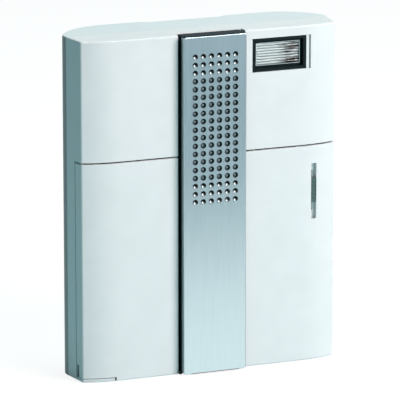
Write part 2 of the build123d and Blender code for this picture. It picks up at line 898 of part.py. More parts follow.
# Metal bar: a shallow pan, open at its top end, with sound holes in the middle rows and blind
# dimples above and below them
with BuildPart() as bar_trim:
    bar_half = bar_width / 2
    block((-bar_half, bar_half), (-bar_proud, bar_back), (bar_bottom, bar_top))
    fillet(bar_trim.edges().filter_by(Axis.Y), bar_corner_round)
    fillet(bar_trim.faces().sort_by(Axis.Y)[0].edges(), bar_edge_round)
    pan_half = bar_half - bar_sheet
    pan_heights = (bar_bottom + bar_sheet, bar_top + overrun)
    block((-pan_half, pan_half), (cloth_front, bar_back), pan_heights, Mode.SUBTRACT)
    with BuildSketch(facing(bar_back)):
        with Locations((0, hole_field_height)):
            with GridLocations(hole_pitch_across, hole_pitch_up, hole_columns, hole_rows):
                Circle(hole_radius)
    extrude(amount=bar_edge + overrun, mode=Mode.SUBTRACT)
    dimple_sphere = (hole_radius**2 + dimple_deep**2) / (2 * dimple_deep)
    dimple_centre = y_of(-bar_proud) - dimple_sphere + dimple_deep
    dimple_reach = (hole_rows + dimple_rows) / 2 * hole_pitch_up
    for upward in (-1, 1):
        field_middle = (0, dimple_centre, hole_field_height + upward * dimple_reach)
        with Locations(Plane(origin=field_middle, x_dir=(1, 0, 0), z_dir=(0, -1, 0))):
            with GridLocations(hole_pitch_across, hole_pitch_up, hole_columns, dimple_rows):
                Sphere(dimple_sphere, mode=Mode.SUBTRACT)
bar_trim.part.label = "bar_trim"
export_step(bar_trim.part, "parts/bar_trim.step")

# Cloth behind the sound holes
with BuildPart() as grille_cloth:
    cloth_half = sound_window_half + cloth_margin
    cloth_heights = (sound_window_low - cloth_margin, sound_window_high + cloth_margin)
    block((-cloth_half, cloth_half), (cloth_front, carrier_front), cloth_heights)
grille_cloth.part.label = "grille_cloth"
export_step(grille_cloth.part, "parts/grille_cloth.step")

# Dark carrier that holds the bar in its channel
with BuildPart() as bar_carrier:
    carrier_plate_half = bar_width / 2 - bar_sheet - carrier_gap
    carrier_low = bar_bottom + bar_sheet + carrier_gap
    carrier_high = channel_top - carrier_gap
    carrier_heights = (carrier_low, carrier_high)
    plate_heights = (carrier_low, bar_top - carrier_gap)
    carrier_end = (bar_back, channel_end_depth - carrier_gap)
    block((-carrier_plate_half, carrier_plate_half), (carrier_front, bar_back), plate_heights)
    block((-carrier_half, carrier_half), (bar_back, channel_depth), carrier_heights)
    block((-carrier_half, carrier_half), carrier_end, plate_heights)
    inner_half = carrier_half - carrier_wall
    inner_heights = (carrier_low + carrier_wall, carrier_high - carrier_wall)
    block((-inner_half, inner_half), (bar_back, channel_depth), inner_heights, Mode.SUBTRACT)
    post(bar_screw_places, (bar_back, channel_depth), boss_radius)
    for height in carrier_rib_heights:
        rib = (height - carrier_wall / 2, height + carrier_wall / 2)
        block((-inner_half, inner_half), (bar_back, channel_depth - carrier_rib_drop), rib)
    window(
        sound_window,
        (carrier_front - overrun, channel_depth),
        (sound_window_low, sound_window_high),
        window_round,
    )
    bar_bore = (back_of_channel - bar_screw_reach - bore_gap, channel_depth)
    post(bar_screw_places, bar_bore, screw_bore, Mode.SUBTRACT)
bar_carrier.part.label = "bar_carrier"
export_step(bar_carrier.part, "parts/bar_carrier.step")

# Screws
bar_screws = screws(bar_screw_places, back_of_channel, bar_screw_reach, 1)
bar_screws.label = "bar_screws"
export_step(bar_screws, "parts/bar_screws.step")

cover_screws = screws(cover_screw_places, spine_back - lug_thick, cover_screw_reach, -1)
cover_screws.label = "cover_screws"
export_step(cover_screws, "parts/cover_screws.step")

speaker_screws = screws(speaker_screw_places, flange_back, speaker_screw_reach, 1)
speaker_screws.label = "speaker_screws"
export_step(speaker_screws, "parts/speaker_screws.step")

board_screws = screws(board_screw_places, board_depth, board_screw_reach, -1)
board_screws.label = "board_screws"
export_step(board_screws, "parts/board_screws.step")


# Speaker
def speaker_outline(opening):
    """The speaker's flange with its screw lugs and a round opening, seen from the front."""
    with BuildSketch(facing(flange_back)) as outline:
        with Locations((0, speaker_height)):
            Circle(speaker_radius)
            RectangleRounded(2 * speaker_lug_half, 2 * speaker_lug_reach, speaker_lug_round)
            Circle(opening, mode=Mode.SUBTRACT)
        with Locations(*speaker_screw_places):
            Circle(screw_bore, mode=Mode.SUBTRACT)
    return outline.sketch


with BuildPart() as speaker_basket:
    extrude(speaker_outline(basket_mouth), amount=flange_thick)
    turned(
        speaker_middle,
        (
            (basket_mouth, flange_front),
            (basket_floor_radius, basket_floor_depth),
            (magnet_bore, basket_floor_depth),
            (magnet_bore, basket_floor_depth + basket_sheet),
            (basket_floor_radius + basket_sheet, basket_floor_depth + basket_sheet),
            (basket_mouth + basket_sheet, flange_back),
            (basket_mouth + basket_sheet, flange_front),
        ),
    )
speaker_basket.part.label = "speaker_basket"
export_step(speaker_basket.part, "parts/speaker_basket.step")

with BuildPart() as speaker_gasket:
    gasket_plan = speaker_outline(cone_rim_radius + gasket_clear)
    extrude(gasket_plan, amount=flange_thick + gasket_thick)
    block(whole_width, (flange_front, flange_back), whole_height, Mode.SUBTRACT)
speaker_gasket.part.label = "speaker_gasket"
export_step(speaker_gasket.part, "parts/speaker_gasket.step")

magnet_front = basket_floor_depth + basket_sheet
magnet_back = magnet_front + magnet_deep
with BuildPart() as speaker_magnet:
    post([speaker_middle], (magnet_front, magnet_back), magnet_radius)
    post([speaker_middle], (magnet_front, magnet_back), magnet_bore, Mode.SUBTRACT)
speaker_magnet.part.label = "speaker_magnet"
export_step(speaker_magnet.part, "parts/speaker_magnet.step")

with BuildPart() as speaker_yoke:
    post([speaker_middle], (magnet_back, magnet_back + yoke_thick), yoke_radius)
    post([speaker_middle], (basket_floor_depth, magnet_back), pole_radius)
speaker_yoke.part.label = "speaker_yoke"
export_step(speaker_yoke.part, "parts/speaker_yoke.step")

with BuildPart() as speaker_cone:
    turned(
        speaker_middle,
        (
            (cone_rim_radius, cone_rim_depth),
            (cone_fold_radius, cone_rim_depth),
            (cone_throat_radius, cone_throat_depth),
            (cone_throat_radius, cone_throat_depth + cone_thick),
            (cone_fold_radius, flange_front),
            (cone_rim_radius, flange_front),
        ),
    )
speaker_cone.part.label = "speaker_cone"
export_step(speaker_cone.part, "parts/speaker_cone.step")

with BuildPart() as voice_coil:
    coil_depths = (cone_throat_depth, coil_end_depth)
    coil_radius = cone_throat_radius - coil_gap
    post([speaker_middle], coil_depths, coil_radius)
    post([speaker_middle], coil_depths, coil_radius - coil_wall, Mode.SUBTRACT)
voice_coil.part.label = "voice_coil"
export_step(voice_coil.part, "parts/voice_coil.step")

with BuildPart() as dust_cap:
    cone_slope = (cone_throat_depth - cone_rim_depth) / (cone_fold_radius - cone_throat_radius)
    cap_back = cone_throat_depth - cone_slope * (cap_radius - cone_throat_radius) - cap_gap
    cap_sphere = (cap_radius**2 + cap_rise**2) / (2 * cap_rise)
    cap_middle = y_of(cap_back - cap_rise) + cap_sphere
    with Locations((0, cap_middle, speaker_height)):
        Sphere(cap_sphere)
    block(whole_width, (cap_back, body_depth + overrun), whole_height, Mode.SUBTRACT)
dust_cap.part.label = "dust_cap"
export_step(dust_cap.part, "parts/dust_cap.step")

# Light window: white surround, black frame, ribbed lens, reflector and tube
surround_back = flash_recess + surround_thick
with BuildPart() as flash_surround:
    surround_across = (channel_half + channel_floor + surround_gap, flash_right + surround_reach)
    surround_heights = (flash_low - surround_reach, flash_high + surround_reach)
    block(surround_across, (flash_recess, surround_back), surround_heights)
    island_across = (flash_left + surround_gap, flash_right - island_gap)
    island_heights = (flash_low + surround_gap, flash_high - surround_gap)
    block(island_across, (island_front, flash_recess), island_heights)
    frame_hole = (frame_left - surround_gap, frame_right + surround_gap)
    frame_hole_heights = (frame_low - surround_gap, frame_high + surround_gap)
    block(frame_hole, (0, body_depth), frame_hole_heights, Mode.SUBTRACT)
flash_surround.part.label = "flash_surround"
export_step(flash_surround.part, "parts/flash_surround.step")

frame_back = ledge_depth + ledge_thick
pane_across = (frame_left + frame_wall, frame_right - frame_wall)
pane_heights = (frame_low + frame_wall, frame_high - frame_wall)
with BuildPart() as flash_frame:
    block((frame_left, frame_right), (frame_front, frame_back), (frame_low, frame_high))
    fillet(flash_frame.faces().sort_by(Axis.Y)[0].edges(), frame_edge_round)
    frame_flange = (frame_left - frame_flange_reach, frame_right + frame_flange_reach)
    frame_flange_heights = (frame_low - frame_flange_reach, frame_high + frame_flange_reach)
    frame_flange_depths = (surround_back, surround_back + frame_flange_thick)
    block(frame_flange, frame_flange_depths, frame_flange_heights)
    block(pane_across, (-overrun, ledge_depth), pane_heights, Mode.SUBTRACT)
    ledge_across = (pane_across[0] + ledge_reach, pane_across[1] - ledge_reach)
    ledge_heights = (pane_heights[0] + ledge_reach, pane_heights[1] - ledge_reach)
    block(ledge_across, (-overrun, body_depth), ledge_heights, Mode.SUBTRACT)
flash_frame.part.label = "flash_frame"
export_step(flash_frame.part, "parts/flash_frame.step")

with BuildPart() as flash_lens:
    lens_across = (pane_across[0] + lens_gap, pane_across[1] - lens_gap)
    lens_heights = (pane_heights[0] + lens_gap, pane_heights[1] - lens_gap)
    lens_front = ledge_depth - lens_thick
    rib_pitch = (lens_heights[1] - lens_heights[0]) / lens_rib_count
    rib_radius = (rib_pitch**2 / 4 + lens_rib_proud**2) / (2 * lens_rib_proud)
    rib_middle = lens_front - lens_rib_proud + rib_radius
    with BuildSketch(Plane.YZ.offset(lens_across[0])):
        for rib in range(lens_rib_count):
            with Locations((y_of(rib_middle), lens_heights[0] + rib_pitch / 2 + rib * rib_pitch)):
                Circle(rib_radius)
        with Locations((y_of(ledge_depth), sum(lens_heights) / 2)):
            Rectangle(
                2 * (lens_thick + lens_rib_proud),
                lens_heights[1] - lens_heights[0],
                mode=Mode.INTERSECT,
            )
    extrude(amount=lens_across[1] - lens_across[0])
    block(lens_across, (ledge_depth, body_depth), lens_heights, Mode.SUBTRACT)
    block(lens_across, (lens_front, ledge_depth), lens_heights)
flash_lens.part.label = "flash_lens"
export_step(flash_lens.part, "parts/flash_lens.step")

flash_middle = (sum(pane_across) / 2, sum(pane_heights) / 2)
with BuildPart() as flash_reflector:
    reflector_across = (
        flash_middle[0] - reflector_width / 2,
        flash_middle[0] + reflector_width / 2,
    )
    reflector_heights = (
        flash_middle[1] - reflector_tall / 2,
        flash_middle[1] + reflector_tall / 2,
    )
    block(reflector_across, (frame_back, reflector_back), reflector_heights)
    with BuildSketch(Plane.YZ.offset(reflector_across[0] + reflector_wall)):
        with BuildLine():
            mouth_low = (y_of(frame_back), reflector_heights[0] + reflector_wall)
            mouth_high = (y_of(frame_back), reflector_heights[1] - reflector_wall)
            bottom = (y_of(reflector_back - reflector_wall), flash_middle[1])
            bowl = ThreePointArc(mouth_low, bottom, mouth_high)
            Line(bowl @ 1, bowl @ 0)
        make_face()
    extrude(amount=reflector_width - 2 * reflector_wall, mode=Mode.SUBTRACT)
    with BuildSketch(Plane.YZ.offset(reflector_across[0])):
        with Locations((y_of(tube_depth), flash_middle[1])):
            Circle(tube_radius + tube_seat_gap)
    extrude(amount=reflector_width, mode=Mode.SUBTRACT)
flash_reflector.part.label = "flash_reflector"
export_step(flash_reflector.part, "parts/flash_reflector.step")

with BuildPart() as flash_tube:
    with BuildSketch(Plane.YZ.offset(reflector_across[0])):
        with Locations((y_of(tube_depth), flash_middle[1])):
            Circle(tube_radius)
    extrude(amount=reflector_width)
flash_tube.part.label = "flash_tube"
export_step(flash_tube.part, "parts/flash_tube.step")

with BuildPart() as flash_tube_ends:
    for start in (reflector_across[0] - tube_end_long, reflector_across[1]):
        with BuildSketch(Plane.YZ.offset(start)):
            with Locations((y_of(tube_depth), flash_middle[1])):
                Circle(tube_end_radius)
        extrude(amount=tube_end_long)
flash_tube_ends.part.label = "flash_tube_ends"
export_step(flash_tube_ends.part, "parts/flash_tube_ends.step")

# Boards
with BuildPart() as main_board:
    block((board_left, board_right), (board_depth, board_back), (board_low, board_high))
    post(main_board_places, (board_depth, board_back), board_hole_radius, Mode.SUBTRACT)
main_board.part.label = "main_board"
export_step(main_board.part, "parts/main_board.step")

with BuildPart() as receiver_board:
    receiver_heights = (receiver_low, receiver_high)
    block((receiver_left, receiver_right), (board_depth, board_back), receiver_heights)
    post(receiver_places, (board_depth, board_back), board_hole_radius, Mode.SUBTRACT)
receiver_board.part.label = "receiver_board"
export_step(receiver_board.part, "parts/receiver_board.step")

with BuildPart() as receiver_can:
    window(
        (receiver_left + receiver_can_margin, receiver_right - receiver_can_margin),
        (board_depth - receiver_can_tall, board_depth),
        (receiver_low + receiver_can_margin, receiver_high - receiver_can_margin),
        receiver_can_round,
        Mode.ADD,
    )
receiver_can.part.label = "receiver_can"
export_step(receiver_can.part, "parts/receiver_can.step")

with BuildPart() as chips:
    for across, up in chip_places:
        chip_across = (across - chip_wide / 2, across + chip_wide / 2)
        chip_heights = (up - chip_long / 2, up + chip_long / 2)
        block(chip_across, (board_depth - chip_tall, board_depth), chip_heights)
chips.part.label = "chips"
export_step(chips.part, "parts/chips.step")

with BuildPart() as capacitors:
    post(capacitor_places, (board_depth - capacitor_tall, board_depth), capacitor_radius)
    capacitor_tops = capacitors.faces().filter_by(Axis.Y).group_by(Axis.Y)[0]
    fillet(capacitor_tops.edges(), capacitor_round)
capacitors.part.label = "capacitors"
export_step(capacitors.part, "parts/capacitors.step")

with BuildPart() as resistors:
    for across, up in resistor_places:
        with BuildSketch(Plane.YZ.offset(across - resistor_long / 2)):
            with Locations((y_of(board_depth - resistor_lift - resistor_radius), up)):
                Circle(resistor_radius)
        extrude(amount=resistor_long)
resistors.part.label = "resistors"
export_step(resistors.part, "parts/resistors.step")

with BuildPart() as flash_capacitor:
    with BuildSketch(Plane.YZ.offset(flash_can_middle - flash_can_long / 2)):
        with Locations((y_of(board_depth - resistor_lift - flash_can_radius), flash_can_height)):
            Circle(flash_can_radius)
    extrude(amount=flash_can_long)
    fillet(flash_capacitor.edges().filter_by(GeomType.CIRCLE), capacitor_round)
flash_capacitor.part.label = "flash_capacitor"
export_step(flash_capacitor.part, "parts/flash_capacitor.step")

with BuildPart() as trigger_coil:
    coil_place = [(coil_core_across, coil_core_height)]
    post(coil_place, (board_depth - coil_core_tall, board_depth), coil_core_radius)
trigger_coil.part.label = "trigger_coil"
export_step(trigger_coil.part, "parts/trigger_coil.step")

# Volume slider: body on the board, guide up to the door, and the knob that slides in it
stem_half = stem_wide / 2
slider_slot = (slot_across - stem_half - guide_slot_gap, slot_across + stem_half + guide_slot_gap)
slider_slot_low = knob_middle - stem_long / 2 - knob_travel_down - travel_gap
slider_slot_high = knob_middle + stem_long / 2 + knob_travel_up + travel_gap
slider_slot_heights = (slider_slot_low, slider_slot_high)

with BuildPart() as slider_body:
    slider_across = (slot_across - slider_wide / 2, slot_across + slider_wide / 2)
    slider_heights = (slot_middle - slider_long / 2, slot_middle + slider_long / 2)
    block(slider_across, (slider_front_depth, board_depth), slider_heights)
    slot_depths = (slider_front_depth, slider_slot_end_depth)
    block(slider_slot, slot_depths, slider_slot_heights, Mode.SUBTRACT)
slider_body.part.label = "slider_body"
export_step(slider_body.part, "parts/slider_body.step")

with BuildPart() as slider_guide:
    guide_across = (slot_across - guide_wide / 2, slot_across + guide_wide / 2)
    guide_heights = (slot_middle - guide_long / 2, slot_middle + guide_long / 2)
    block(guide_across, (guide_front_depth, slider_front_depth), guide_heights)
    block(
        (guide_across[0] + guide_wall, guide_across[1] - guide_wall),
        (guide_front_depth + guide_wall, slider_front_depth),
        (guide_heights[0] + guide_wall, guide_heights[1] - guide_wall),
        Mode.SUBTRACT,
    )
    block(slider_slot, (0, slider_front_depth), slider_slot_heights, Mode.SUBTRACT)
slider_guide.part.label = "slider_guide"
export_step(slider_guide.part, "parts/slider_guide.step")

with BuildPart() as volume_knob:
    knob_across = (slot_across - knob_wide / 2, slot_across + knob_wide / 2)
    knob_heights = (knob_middle - knob_long / 2, knob_middle + knob_long / 2)
    knob_back = knob_front_depth + knob_thick
    window(knob_across, (knob_front_depth, knob_back), knob_heights, knob_round, Mode.ADD)
    ridge_pitch = knob_long / (knob_ridges + 1)
    for ridge in range(knob_ridges):
        groove_middle = knob_heights[0] + (ridge + 1) * ridge_pitch
        groove = (groove_middle - knob_ridge_deep, groove_middle + knob_ridge_deep)
        groove_depths = (0, knob_front_depth + knob_ridge_deep)
        block(knob_across, groove_depths, groove, Mode.SUBTRACT)
    stem_across = (slot_across - stem_half, slot_across + stem_half)
    stem_heights = (knob_middle - stem_long / 2, knob_middle + stem_long / 2)
    block(stem_across, (knob_back, stem_end_depth), stem_heights)
    # A thin shutter behind the guide's front wall hides the stem's slot
    shutter_half = guide_wide / 2 - guide_wall - shutter_gap
    shutter_front = guide_front_depth + guide_wall + shutter_gap
    shutter_across = (slot_across - shutter_half, slot_across + shutter_half)
    shutter_depths = (shutter_front, shutter_front + shutter_thick)
    shutter_heights = (knob_middle - shutter_long / 2, knob_middle + shutter_long / 2)
    block(shutter_across, shutter_depths, shutter_heights)
volume_knob.part.label = "volume_knob"
export_step(volume_knob.part, "parts/volume_knob.step")

# Melody dial on its rotary switch
dial_place = [(dial_across, dial_height)]
with BuildPart() as dial_switch:
    dial_sides = (dial_across - dial_body_half, dial_across + dial_body_half)
    dial_heights = (dial_height - dial_body_half, dial_height + dial_body_half)
    block(dial_sides, (dial_body_front_depth, board_depth), dial_heights)
    dial_bore = (dial_body_front_depth, dial_stem_end_depth + running_gap)
    post(dial_place, dial_bore, dial_stem_radius + running_gap, Mode.SUBTRACT)
dial_switch.part.label = "dial_switch"
export_step(dial_switch.part, "parts/dial_switch.step")

with BuildPart() as melody_dial:
    post(dial_place, (dial_front_depth, dial_back_depth), dial_radius)
    with BuildSketch(facing(dial_back_depth)):
        with Locations((dial_across, dial_height)):
            with PolarLocations(dial_radius, dial_grooves):
                Circle(dial_groove_radius)
    extrude(amount=dial_back_depth - dial_front_depth, mode=Mode.SUBTRACT)
    mark_across = (dial_across - dial_mark_wide / 2, dial_across + dial_mark_wide / 2)
    mark_heights = (dial_height, dial_height + dial_mark_long)
    mark_depths = (dial_front_depth, dial_front_depth + dial_mark_deep)
    block(mark_across, mark_depths, mark_heights, Mode.SUBTRACT)
    post(dial_place, (dial_back_depth, dial_stem_end_depth), dial_stem_radius)
melody_dial.part.label = "melody_dial"
export_step(melody_dial.part, "parts/melody_dial.step")

# Learn button on its push switch
learn_place = [(learn_across, learn_height)]
with BuildPart() as learn_switch:
    learn_sides = (learn_across - learn_body_half, learn_across + learn_body_half)
    learn_heights = (learn_height - learn_body_half, learn_height + learn_body_half)
    block(learn_sides, (learn_body_front_depth, board_depth), learn_heights)
    learn_bore = (learn_body_front_depth, learn_stem_end_depth + learn_travel + running_gap)
    post(learn_place, learn_bore, learn_stem_radius + running_gap, Mode.SUBTRACT)
learn_switch.part.label = "learn_switch"
export_step(learn_switch.part, "parts/learn_switch.step")

with BuildPart() as learn_button:
    post(learn_place, (learn_cap_front_depth, learn_cap_back_depth), learn_cap_radius)
    fillet(learn_button.edges().group_by(Axis.Y)[0], cap_round)
    post(learn_place, (learn_cap_back_depth, learn_stem_end_depth), learn_stem_radius)
learn_button.part.label = "learn_button"
export_step(learn_button.part, "parts/learn_button.step")

# Terminal block for the wires, with its screws
terminal_middle = (terminal_left + terminal_right) / 2
terminal_height = (terminal_low + terminal_high) / 2
terminal_places = [
    (terminal_middle + (way - (terminal_ways - 1) / 2) * terminal_pitch, terminal_height)
    for way in range(terminal_ways)
]
terminal_bore_end = terminal_front_depth + terminal_bore_deep
with BuildPart() as terminal_block:
    block(
        (terminal_left, terminal_right),
        (terminal_front_depth, board_depth),
        (terminal_low, terminal_high),
    )
    terminal_bores = (terminal_front_depth, terminal_bore_end)
    post(terminal_places, terminal_bores, terminal_bore, Mode.SUBTRACT)
    for across, up in terminal_places:
        entry = (across - terminal_entry_wide / 2, across + terminal_entry_wide / 2)
        entry_depths = (
            terminal_entry_depth - terminal_entry_tall / 2,
            terminal_entry_depth + terminal_entry_tall / 2,
        )
        entry_reach = (terminal_low, terminal_low + terminal_entry_deep)
        block(entry, entry_depths, entry_reach, Mode.SUBTRACT)
terminal_block.part.label = "terminal_block"
export_step(terminal_block.part, "parts/terminal_block.step")

with BuildPart() as terminal_screws:
    terminal_screw = (terminal_bore_end - terminal_screw_tall, terminal_bore_end)
    post(terminal_places, terminal_screw, terminal_bore - terminal_screw_gap)
    for across, up in terminal_places:
        slit = (across - screw_cross_wide / 2, across + screw_cross_wide / 2)
        slit_depths = (terminal_screw[0], terminal_screw[0] + screw_cross_deep)
        slit_heights = (up - terminal_bore, up + terminal_bore)
        block(slit, slit_depths, slit_heights, Mode.SUBTRACT)
terminal_screws.part.label = "terminal_screws"
export_step(terminal_screws.part, "parts/terminal_screws.step")

# Battery bay: tray, contact plates, springs and cells
with BuildPart() as battery_tray:
    tray_sides = (tray_left, tray_right)
    block(tray_sides, (tray_front_depth, tray_back), (tray_low, tray_high))
    for row_low in tray_rows:
        row = (row_low, row_low + row_long)
        inner_sides = (tray_left + tray_wall, tray_right - tray_wall)
        inner_depths = (tray_front_depth - overrun, tray_back - tray_floor)
        block(inner_sides, inner_depths, row, Mode.SUBTRACT)
        ridge_heights = (row_low + row_long / 4, row_low + row_long * 3 / 4)
        ridge_sides = (cell_middle - tray_wall / 2, cell_middle + tray_wall / 2)
        ridge_depths = (tray_back - tray_floor - cell_radius * cradle_height_share, tray_back)
        block(ridge_sides, ridge_depths, ridge_heights)
battery_tray.part.label = "battery_tray"
export_step(battery_tray.part, "parts/battery_tray.step")

with BuildPart() as battery_plates:
    for column in cell_columns:
        for row_low in tray_rows:
            plate_sides = (column - plate_wide / 2, column + plate_wide / 2)
            plate_depths = (cell_depth - plate_tall / 2, cell_depth + plate_tall / 2)
            block(plate_sides, plate_depths, (row_low, row_low + plate_thick))
            row_high = row_low + row_long
            block(plate_sides, plate_depths, (row_high - plate_thick, row_high))
battery_plates.part.label = "battery_plates"
export_step(battery_plates.part, "parts/battery_plates.step")

with BuildPart() as battery_springs:
    for column, row_low, upward in cell_layout:
        spring_low = row_low + plate_thick
        if upward < 0:
            spring_low = row_low + row_long - plate_thick - spring_squeezed
        radii = (spring_base_radius, spring_tip_radius)[::upward]
        with Locations((column, y_of(cell_depth), spring_low + spring_squeezed / 2)):
            Cone(radii[0], radii[1], spring_squeezed)
battery_springs.part.label = "battery_springs"
export_step(battery_springs.part, "parts/battery_springs.step")

for number, (column, row_low, upward) in enumerate(cell_layout, start=1):
    with BuildPart() as cell:
        spring_side = row_low + plate_thick + spring_squeezed
        nub_side = row_low + plate_thick
        can = (spring_side, spring_side + cell_long)
        nub = (spring_side + cell_long, spring_side + cell_long + cell_nub_long)
        if upward < 0:
            nub = (nub_side, nub_side + cell_nub_long)
            can = (nub_side + cell_nub_long, nub_side + cell_nub_long + cell_long)
        upright(column, cell_depth, can, cell_radius)
        fillet(cell.edges().filter_by(GeomType.CIRCLE), capacitor_round)
        upright(column, cell_depth, nub, cell_nub_radius)
    cell.part.label = f"battery_cell_{number}"
    export_step(cell.part, f"parts/battery_cell_{number}.step")


# Leads inside the box, as straight runs joined by wide bends
def leads(routes):
    """Round leads along routes of (across, depth, height) points."""
    with BuildPart() as group:
        for route in routes:
            points = [Vector(across, y_of(depth), up) for across, depth, up in route]
            runs = [b - a for a, b in zip(points, points[1:])]
            radii = []
            for first, second in zip(runs, runs[1:]):
                turn = math.radians(first.get_angle(second))
                shorter = min(first.length, second.length)
                radii.append(lead_bend_share * shorter / math.tan(turn / 2))
            with BuildLine(mode=Mode.PRIVATE) as path:
                FilletPolyline(*points, radius=radii)
            start = Plane(origin=path.line @ 0, z_dir=path.line % 0)
            with BuildSketch(start, mode=Mode.PRIVATE) as section:
                Circle(lead_radius)
            sweep(section.sketch, path=path.line)
    return group.part


battery_leads = leads(battery_lead_routes)
battery_leads.label = "battery_leads"
export_step(battery_leads, "parts/battery_leads.step")

speaker_leads = leads(speaker_lead_routes)
speaker_leads.label = "speaker_leads"
export_step(speaker_leads, "parts/speaker_leads.step")

with BuildPart() as speaker_tag:
    tag_across = (-tag_half, tag_half)
    tag_heights = (tag_height - tag_tall / 2, tag_height + tag_tall / 2)
    block(tag_across, (flange_back, flange_back + tag_thick), tag_heights)
speaker_tag.part.label = "speaker_tag"
export_step(speaker_tag.part, "parts/speaker_tag.step")
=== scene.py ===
import math

import bmesh
import bpy
from mathutils import Matrix, Vector


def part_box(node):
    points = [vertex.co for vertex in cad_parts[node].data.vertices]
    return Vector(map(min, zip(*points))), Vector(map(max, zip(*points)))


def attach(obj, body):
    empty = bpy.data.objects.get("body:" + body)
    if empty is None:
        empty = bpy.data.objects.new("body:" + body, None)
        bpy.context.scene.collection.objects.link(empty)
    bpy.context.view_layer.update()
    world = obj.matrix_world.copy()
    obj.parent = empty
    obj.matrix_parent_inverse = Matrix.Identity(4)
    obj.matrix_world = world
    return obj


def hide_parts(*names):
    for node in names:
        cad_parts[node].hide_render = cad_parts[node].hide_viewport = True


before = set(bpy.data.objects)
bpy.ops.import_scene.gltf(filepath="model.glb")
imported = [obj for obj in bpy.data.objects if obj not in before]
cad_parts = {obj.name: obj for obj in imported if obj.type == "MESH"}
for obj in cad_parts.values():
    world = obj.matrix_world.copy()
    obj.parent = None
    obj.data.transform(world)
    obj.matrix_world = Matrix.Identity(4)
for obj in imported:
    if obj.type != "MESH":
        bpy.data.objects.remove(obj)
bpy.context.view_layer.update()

# Lengths are in millimetres until place() or mm turns them into metres. The stage is in metres.
mm = 0.001
body_depth = 42.0
full_turn = 2 * math.pi
shader_name = "Principled BSDF"


def place(across, depth, up):
    """A point across, behind the flat front, and up from the middle of the box."""
    return Vector((across * mm, (depth - body_depth) * mm, up * mm))


# Parts of a finish

def split_ways(made, output):
    """Across, depth and up, of the piece's own place (Object) or of the way it faces (Normal)."""
    nodes, links = made.node_tree.nodes, made.node_tree.links
    where = nodes.new("ShaderNodeTexCoord")
    parts = nodes.new("ShaderNodeSeparateXYZ")
    links.new(where.outputs[output], parts.inputs["Vector"])
    return parts.outputs["X"], parts.outputs["Y"], parts.outputs["Z"]


def worked(made, operation, *terms):
    """One sum, on sockets and plain numbers."""
    nodes, links = made.node_tree.nodes, made.node_tree.links
    node = nodes.new("ShaderNodeMath")
    node.operation = operation
    for socket, term in zip(node.inputs, terms):
        if isinstance(term, float):
            socket.default_value = term
        else:
            links.new(term, socket)
    return node.outputs["Value"]


def eased(made, value, span, shares=(0.0, 1.0)):
    """Carries a value from a span to a pair of shares, and holds it at both ends."""
    nodes, links = made.node_tree.nodes, made.node_tree.links
    node = nodes.new("ShaderNodeMapRange")
    for socket, number in zip(("From Min", "From Max", "To Min", "To Max"), (*span, *shares)):
        node.inputs[socket].default_value = number
    links.new(value, node.inputs["Value"])
    return node.outputs["Result"]


def coloured(made, factor, places, colours, blend="LINEAR"):
    """Lets a factor pass between two colours, which stand at two places from 0 to 1."""
    nodes, links = made.node_tree.nodes, made.node_tree.links
    ramp = nodes.new("ShaderNodeValToRGB")
    ramp.color_ramp.interpolation = blend
    for element, position, colour in zip(ramp.color_ramp.elements, places, colours):
        element.position = position
        element.color = (*colour, 1.0)
    links.new(factor, ramp.inputs["Fac"])
    links.new(ramp.outputs["Color"], nodes[shader_name].inputs["Base Color"])


def dimmed(made, share):
    """Scales the colour that the finish has so far."""
    nodes, links = made.node_tree.nodes, made.node_tree.links
    colour = nodes[shader_name].inputs["Base Color"]
    tint = nodes.new("ShaderNodeVectorMath")
    tint.operation = "SCALE"
    links.new(colour.links[0].from_socket, tint.inputs[0])
    links.new(share, tint.inputs["Scale"])
    links.new(tint.outputs["Vector"], colour)


def grain(made, sizes, detail=3.0):
    """A noise on the piece's own coordinates, with a grain size in millimetres each way."""
    nodes, links = made.node_tree.nodes, made.node_tree.links
    where = nodes.new("ShaderNodeTexCoord")
    fit = nodes.new("ShaderNodeMapping")
    fit.inputs["Scale"].default_value = [1 / (size * mm) for size in sizes]
    noise = nodes.new("ShaderNodeTexNoise")
    noise.inputs["Scale"].default_value = 1.0
    noise.inputs["Detail"].default_value = detail
    links.new(where.outputs["Object"], fit.inputs["Vector"])
    links.new(fit.outputs["Vector"], noise.inputs["Vector"])
    return noise.outputs["Fac"]


def even(size):
    """The same grain size each way."""
    return (size, size, size)


def shades(colour, change):
    """A colour made darker and lighter by a share."""
    return (
        tuple(level * (1 - change) for level in colour),
        tuple(min(level * (1 + change), 1.0) for level in colour),
    )


def spread(made, factor, colours, roughness):
    """A pattern's factor carries the colour and the roughness between two values."""
    darkest_at, lightest_at = 0.3, 0.7
    coloured(made, factor, (darkest_at, lightest_at), colours)
    made.node_tree.links.new(
        eased(made, factor, (0.0, 1.0), roughness),
        made.node_tree.nodes[shader_name].inputs["Roughness"],
    )


def relief(made, factor, strength, depth):
    """A pattern's factor raises the surface by a depth in millimetres."""
    nodes, links = made.node_tree.nodes, made.node_tree.links
    bump = nodes.new("ShaderNodeBump")
    bump.inputs["Strength"].default_value = strength
    bump.inputs["Distance"].default_value = depth * mm
    links.new(factor, bump.inputs["Height"])
    links.new(bump.outputs["Normal"], nodes[shader_name].inputs["Normal"])


# Kinds of finish

def finish(name, colour, roughness, metallic=0.0, **sockets):
    """A new finish with one colour, and the shader's own sockets set where named."""
    made = bpy.data.materials.new(name)
    made.use_nodes = True
    shader = made.node_tree.nodes[shader_name]
    shader.inputs["Base Color"].default_value = (*colour, 1.0)
    shader.inputs["Roughness"].default_value = roughness
    shader.inputs["Metallic"].default_value = metallic
    for socket, value in sockets.items():
        shader.inputs[socket.replace("_", " ")].default_value = value
    return made


